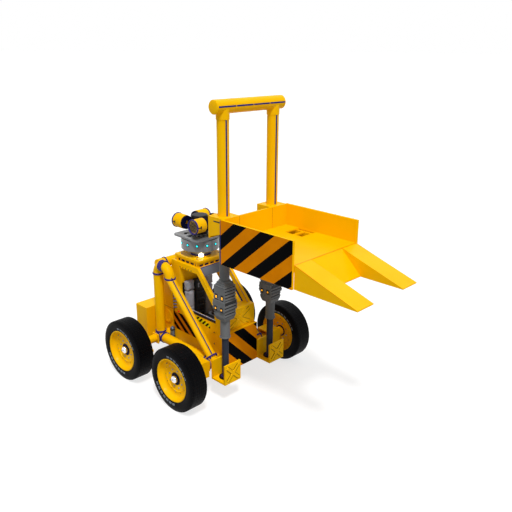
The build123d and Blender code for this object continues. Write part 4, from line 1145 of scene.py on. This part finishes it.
mesh = bmesh.new()
for x, y in ((-205, 1315), (210, 1039), (-118, 1372), (205, 1315)):
    turned(mesh, [(30, -1), (36, -1), (36, 1), (33, 1.6), (30, 1)], (x, y, ROOF_Z), UP, 36)
finish_piece("roof_pressings", mesh, seam_enamel, "chassis", "yellow_paint")

mesh = bmesh.new()
turned(mesh, [(0, -2), (46, -2), (46, 6), (42, 10), (35, 10), (35, 4), (0, 4)], COURTESY_LAMP, UP, 40)
finish_piece("roof_lamp_bezel", mesh, yellow_enamel, "chassis", "yellow_paint")

mesh = bmesh.new()
turned(mesh, [(0, 2), (34, 2), (34, 26), (30, 42), (18, 53), (0, 57)], COURTESY_LAMP, UP, 32)
finish_piece("roof_courtesy_lamp", mesh, dome_lens, "chassis", "lamp_paint")

mesh = bmesh.new()
for side in (-1, 1):
    block(mesh, (side * 287.5 - 3, 520, 602), (side * 287.5 + 1, 1280, 1020), 1.5)
block(mesh, (-276, 1302, 602), (276, 1308, 1380), 2)
finish_piece("cab_lining", mesh, navy_enamel, "chassis", "black_plastic")

mesh = bmesh.new()
for side in (-1, 1):
    for y in range(580, 1260, 75):
        for z in (640, 820, 985):
            dome(mesh, (side * 284.5, y, z), (-side, 0, 0), 6, 2.5, 10)
finish_piece("cab_lining_buttons", mesh, yellow_enamel, "chassis", "yellow_paint")
print("cab pieces", len(made_pieces))

# %% [markdown]
# ## Rear grille and canister
# Air leaves the engine bay at the back through a grille of slats in a bolted frame, and the
# small reservoir at the right has pressed domes and steel straps. The slats are plain rounded
# bars, as they are on the real grille, with the bolts of the frame and of the counterweight.

# %% Back of the truck
RESERVOIR = (-338, 1500)

mesh = bmesh.new()
for z in range(980, 1420, 44):
    block(mesh, (-236, 1792, z), (236, 1812, z + 15), 3)
finish_piece("radiator_slats", mesh, black_plastic, "chassis", "black_plastic")

mesh = bmesh.new()
block(mesh, (-256, 1796, 1424), (256, 1818, 1448), 4)
block(mesh, (-256, 1796, 950), (256, 1818, 974), 4)
for side in (-1, 1):
    block(mesh, (side * 246 - 11, 1796, 950), (side * 246 + 11, 1818, 1448), 4)
    for z in (962, 1080, 1200, 1320, 1436):
        hexagon_head(mesh, (side * 246, 1818, z), BACK, 12, 5)
    for z in (380, 860):
        hexagon_head(mesh, (side * 520, 2100, z), BACK, 34, 16)
finish_piece("radiator_frame", mesh, yellow_enamel, "chassis", "yellow_paint")

mesh = bmesh.new()
turned(mesh, [(0, 428), (14, 428), (26, 433), (33, 441), (36, 452), (36, 598), (33, 609), (26, 617), (14, 622),
              (0, 622)], (*RESERVOIR, 0), UP, 40)
turned(mesh, [(0, 620), (9, 620), (9, 634), (6, 638), (0, 638)], (*RESERVOIR, 0), UP, 20)
finish_piece("reservoir_bottle", mesh, blue_steel, "chassis", "reservoir_steel", ["canister"])

mesh = bmesh.new()
for z in (470, 580):
    ring(mesh, (*RESERVOIR, z), UP, 35, 39, 18)
    block(mesh, (-312, 1494, z - 9), (-298, 1506, z + 9), 1)
finish_piece("reservoir_straps", mesh, black_plastic, "chassis", "black_plastic")
print("back pieces", len(made_pieces))

# %% [markdown]
# ## The seat
# The seat is foam in sewn vinyl: a black centre between grey side bolsters, on the cushion and
# on the back. Foam pushes its cover out between the seams, so each pad starts as a slightly
# small rounded block, is remeshed finely, and is blown up a little by a cloth simulation with
# inner pressure. The sewn channels are pressed in afterwards, and one subdivision smooths it.

# %% Seat pads
VOXEL_MM = 6.0
PRESSURE = 4.0
PUFF_CAP_MM = 24.0
CHANNEL_MM = 9
PAD_ROUND_MM = 16
SEAM_X, SIDE_X = 108, 270
SIM_FRAMES = 20


def mesh_after_modifiers(piece):
    """A plain copy of what the piece's modifiers make."""
    evaluated = piece.evaluated_get(bpy.context.evaluated_depsgraph_get())
    return bpy.data.meshes.new_from_object(evaluated)


def swap_mesh(piece, data):
    """Gives a piece a finished mesh and takes its modifiers off."""
    piece.modifiers.clear()
    old, piece.data = piece.data, data
    bpy.data.meshes.remove(old)


def blow_up(piece):
    """Swells the pad by cloth pressure and holds each point within the cap."""
    rest = [vert.co.copy() for vert in piece.data.vertices]
    cloth = piece.modifiers.new("foam_pressure", "CLOTH")
    cloth.settings.use_pressure = True
    cloth.settings.uniform_pressure_force = PRESSURE
    cloth.settings.quality = 3
    cloth.settings.effector_weights.gravity = 0
    cloth.collision_settings.use_collision = False
    cloth.collision_settings.use_self_collision = False
    cloth.point_cache.frame_start, cloth.point_cache.frame_end = 1, SIM_FRAMES
    for step in range(1, SIM_FRAMES + 1):
        bpy.context.scene.frame_set(step)
    data = mesh_after_modifiers(piece)
    cap = PUFF_CAP_MM * MM
    for vert, start in zip(data.vertices, rest):
        moved = vert.co - start
        if moved.length > cap:
            vert.co = start + moved.normalized() * cap
    swap_mesh(piece, data)
    bpy.context.scene.frame_set(1)


def pad(name, low, high, finish, node, face, channels, shrink=13.0):
    """A sewn pad in the space between two corners.

    The channels are (axis, millimetres) seams that run across its outer face, whose direction
    is given by face.
    """
    mesh = bmesh.new()
    inset = Vector((shrink, shrink, shrink))
    block(mesh, Vector(low) + inset, Vector(high) - inset, PAD_ROUND_MM, segments=4)
    bmesh.ops.scale(mesh, vec=(MM, MM, MM), verts=mesh.verts[:])
    data = bpy.data.meshes.new(name)
    mesh.to_mesh(data)
    mesh.free()
    piece = bpy.data.objects.new(name, data)
    bpy.context.scene.collection.objects.link(piece)
    remesh = piece.modifiers.new("foam_voxels", "REMESH")
    remesh.mode, remesh.voxel_size = "VOXEL", VOXEL_MM * MM
    swap_mesh(piece, mesh_after_modifiers(piece))
    blow_up(piece)
    out = Vector(face)
    facings = [max(0.0, vert.normal.dot(out)) for vert in piece.data.vertices]
    for vert, facing in zip(piece.data.vertices, facings):
        for axis, where in channels:
            away = (vert.co["XYZ".index(axis)] / MM - where) / CHANNEL_MM
            vert.co -= out * (CHANNEL_MM * MM * facing * exp(-away * away))
    piece.data.materials.append(finish)
    piece.data.shade_smooth()
    smooth = piece.modifiers.new("sewn_smoothing", "SUBSURF")
    smooth.levels = smooth.render_levels = 1
    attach(piece, "chassis")
    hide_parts(node)
    made_pieces.append(piece)
    print(name, len(piece.data.vertices), "points")


CUSHION = ((760, 1178), (726, 852))
BACK_Y = (1180, 1296)
pad("seat_cushion_centre", (-SEAM_X, CUSHION[0][0], CUSHION[1][0]),
    (SEAM_X, CUSHION[0][1], CUSHION[1][1]), black_vinyl, "seat_cushion", UP,
    [("Y", 860), ("Y", 960), ("Y", 1060)])
pad("seat_back_centre", (-SEAM_X, BACK_Y[0], 728), (SEAM_X, BACK_Y[1], 1444), black_vinyl,
    "seat_back", AHEAD, [("Z", 900), ("Z", 1010), ("Z", 1120), ("Z", 1230)])
for side, hand in ((-1, "right"), (1, "left")):
    near, far = sorted((side * (SEAM_X - 5), side * SIDE_X))
    pad(f"seat_cushion_bolster_{hand}", (near, CUSHION[0][0], CUSHION[1][0]),
        (far, CUSHION[0][1], CUSHION[1][1] + 8), grey_vinyl, "seat_cushion", UP, [("Y", 1000)])
    pad(f"seat_back_bolster_{hand}", (near, BACK_Y[0], 728), (far, BACK_Y[1], 1286), grey_vinyl, "seat_back",
        AHEAD, [("Z", 1020)])
    pad(f"seat_shoulder_{hand}", (near, BACK_Y[0], 1272), (far, BACK_Y[1], 1444), grey_vinyl, "seat_back",
        AHEAD, [])

# %% [markdown]
# ## Seat trims
# The headrest has a small grey panel, and a moulded black shell holds the back pads from behind.
# Both are hard parts, so they are plain rounded blocks that need no simulation.

# %% Seat trims
mesh = bmesh.new()
block(mesh, (-62, 1173, 1300), (62, 1186, 1372), 5)
finish_piece("headrest_panel", mesh, grey_vinyl, "chassis", "seat_vinyl")

mesh = bmesh.new()
for side in (-1, 1):
    block(mesh, (side * 262 - 8, 1284, 740), (side * 262 + 8, 1300, 1400), 3)
block(mesh, (-254, 1290, 740), (254, 1298, 1400), 3)
finish_piece("seat_shell", mesh, black_plastic, "chassis", "black_plastic")
print("pieces made", len(made_pieces))

# %% [markdown]
# ## Floor, world and light
# The truck stands on a plain pale floor under plain soft light. The world is white to the
# camera and in reflections, and dimmer as a light, so that the paint keeps its colour. The
# floor is lit in part by itself, which lifts it to white and still lets the shadow show.

# %% Studio
FLOOR_SIZE = 600.0
AMBIENT = 0.47
FLOOR_GLOW = 0.72

floor_mesh = bmesh.new()
bmesh.ops.create_grid(floor_mesh, x_segments=1, y_segments=1, size=FLOOR_SIZE)
floor_data = bpy.data.meshes.new("studio_floor")
floor_mesh.to_mesh(floor_data)
floor_mesh.free()
floor = bpy.data.objects.new("studio_floor", floor_data)
bpy.context.scene.collection.objects.link(floor)
floor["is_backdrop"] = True


def sees_background(tree):
    """One for rays that look at the background, straight or in a mirror or glass."""
    path = add(tree, "ShaderNodeLightPath")
    seen = math(tree, "MAXIMUM", path.outputs["Is Camera Ray"], path.outputs["Is Glossy Ray"])
    return math(tree, "MAXIMUM", seen, path.outputs["Is Transmission Ray"])


floor_paint = bpy.data.materials.new("pale_studio_floor")
floor_paint.use_nodes = True
floor_tree = floor_paint.node_tree
floor_tree.nodes.clear()
matt = add(floor_tree, "ShaderNodeBsdfDiffuse", None, {"Color": linear("A6A6A6")})
glow = add(floor_tree, "ShaderNodeEmission", None, {"Color": linear("FFFFFF")},
           {"Strength": math(floor_tree, "MULTIPLY", sees_background(floor_tree), FLOOR_GLOW)})
both = add(floor_tree, "ShaderNodeAddShader", None, None, {0: matt.outputs[0], 1: glow.outputs[0]})
add(floor_tree, "ShaderNodeOutputMaterial", None, None, {"Surface": both.outputs[0]})
floor_data.materials.append(floor_paint)

world = bpy.data.worlds.new("white_studio")
world.use_nodes = True
bpy.context.scene.world = world
sky = world.node_tree
sky.nodes["Background"].inputs["Color"].default_value = linear("FFFFFF")
sky.links.new(span(sky, sees_background(sky), AMBIENT, 1.0), sky.nodes["Background"].inputs["Strength"])

# Columns: name, direction that the light comes from, strength, apparent width in degrees
SUNS = [("key_sun", (-0.30, -0.42, 0.86), 2.2, 8), ("fill_sun", (0.9, 0.2, 0.6), 0.25, 40)]
for name, direction, strength, width in SUNS:
    lamp = bpy.data.lights.new(name, "SUN")
    lamp.energy, lamp.angle = strength, radians(width)
    sun = bpy.data.objects.new(name, lamp)
    sun.rotation_mode = "QUATERNION"
    sun.rotation_quaternion = Vector(direction).to_track_quat("Z", "Y")
    bpy.context.scene.collection.objects.link(sun)
bpy.context.scene.view_settings.view_transform = "Standard"
print("suns", len(SUNS))

# %% [markdown]
# ## Sizes and finish
# The last cell measures what was built, so that it can be held against the imported solids.
# Nothing is moved or shaped after this.

# %% Finish
low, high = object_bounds()
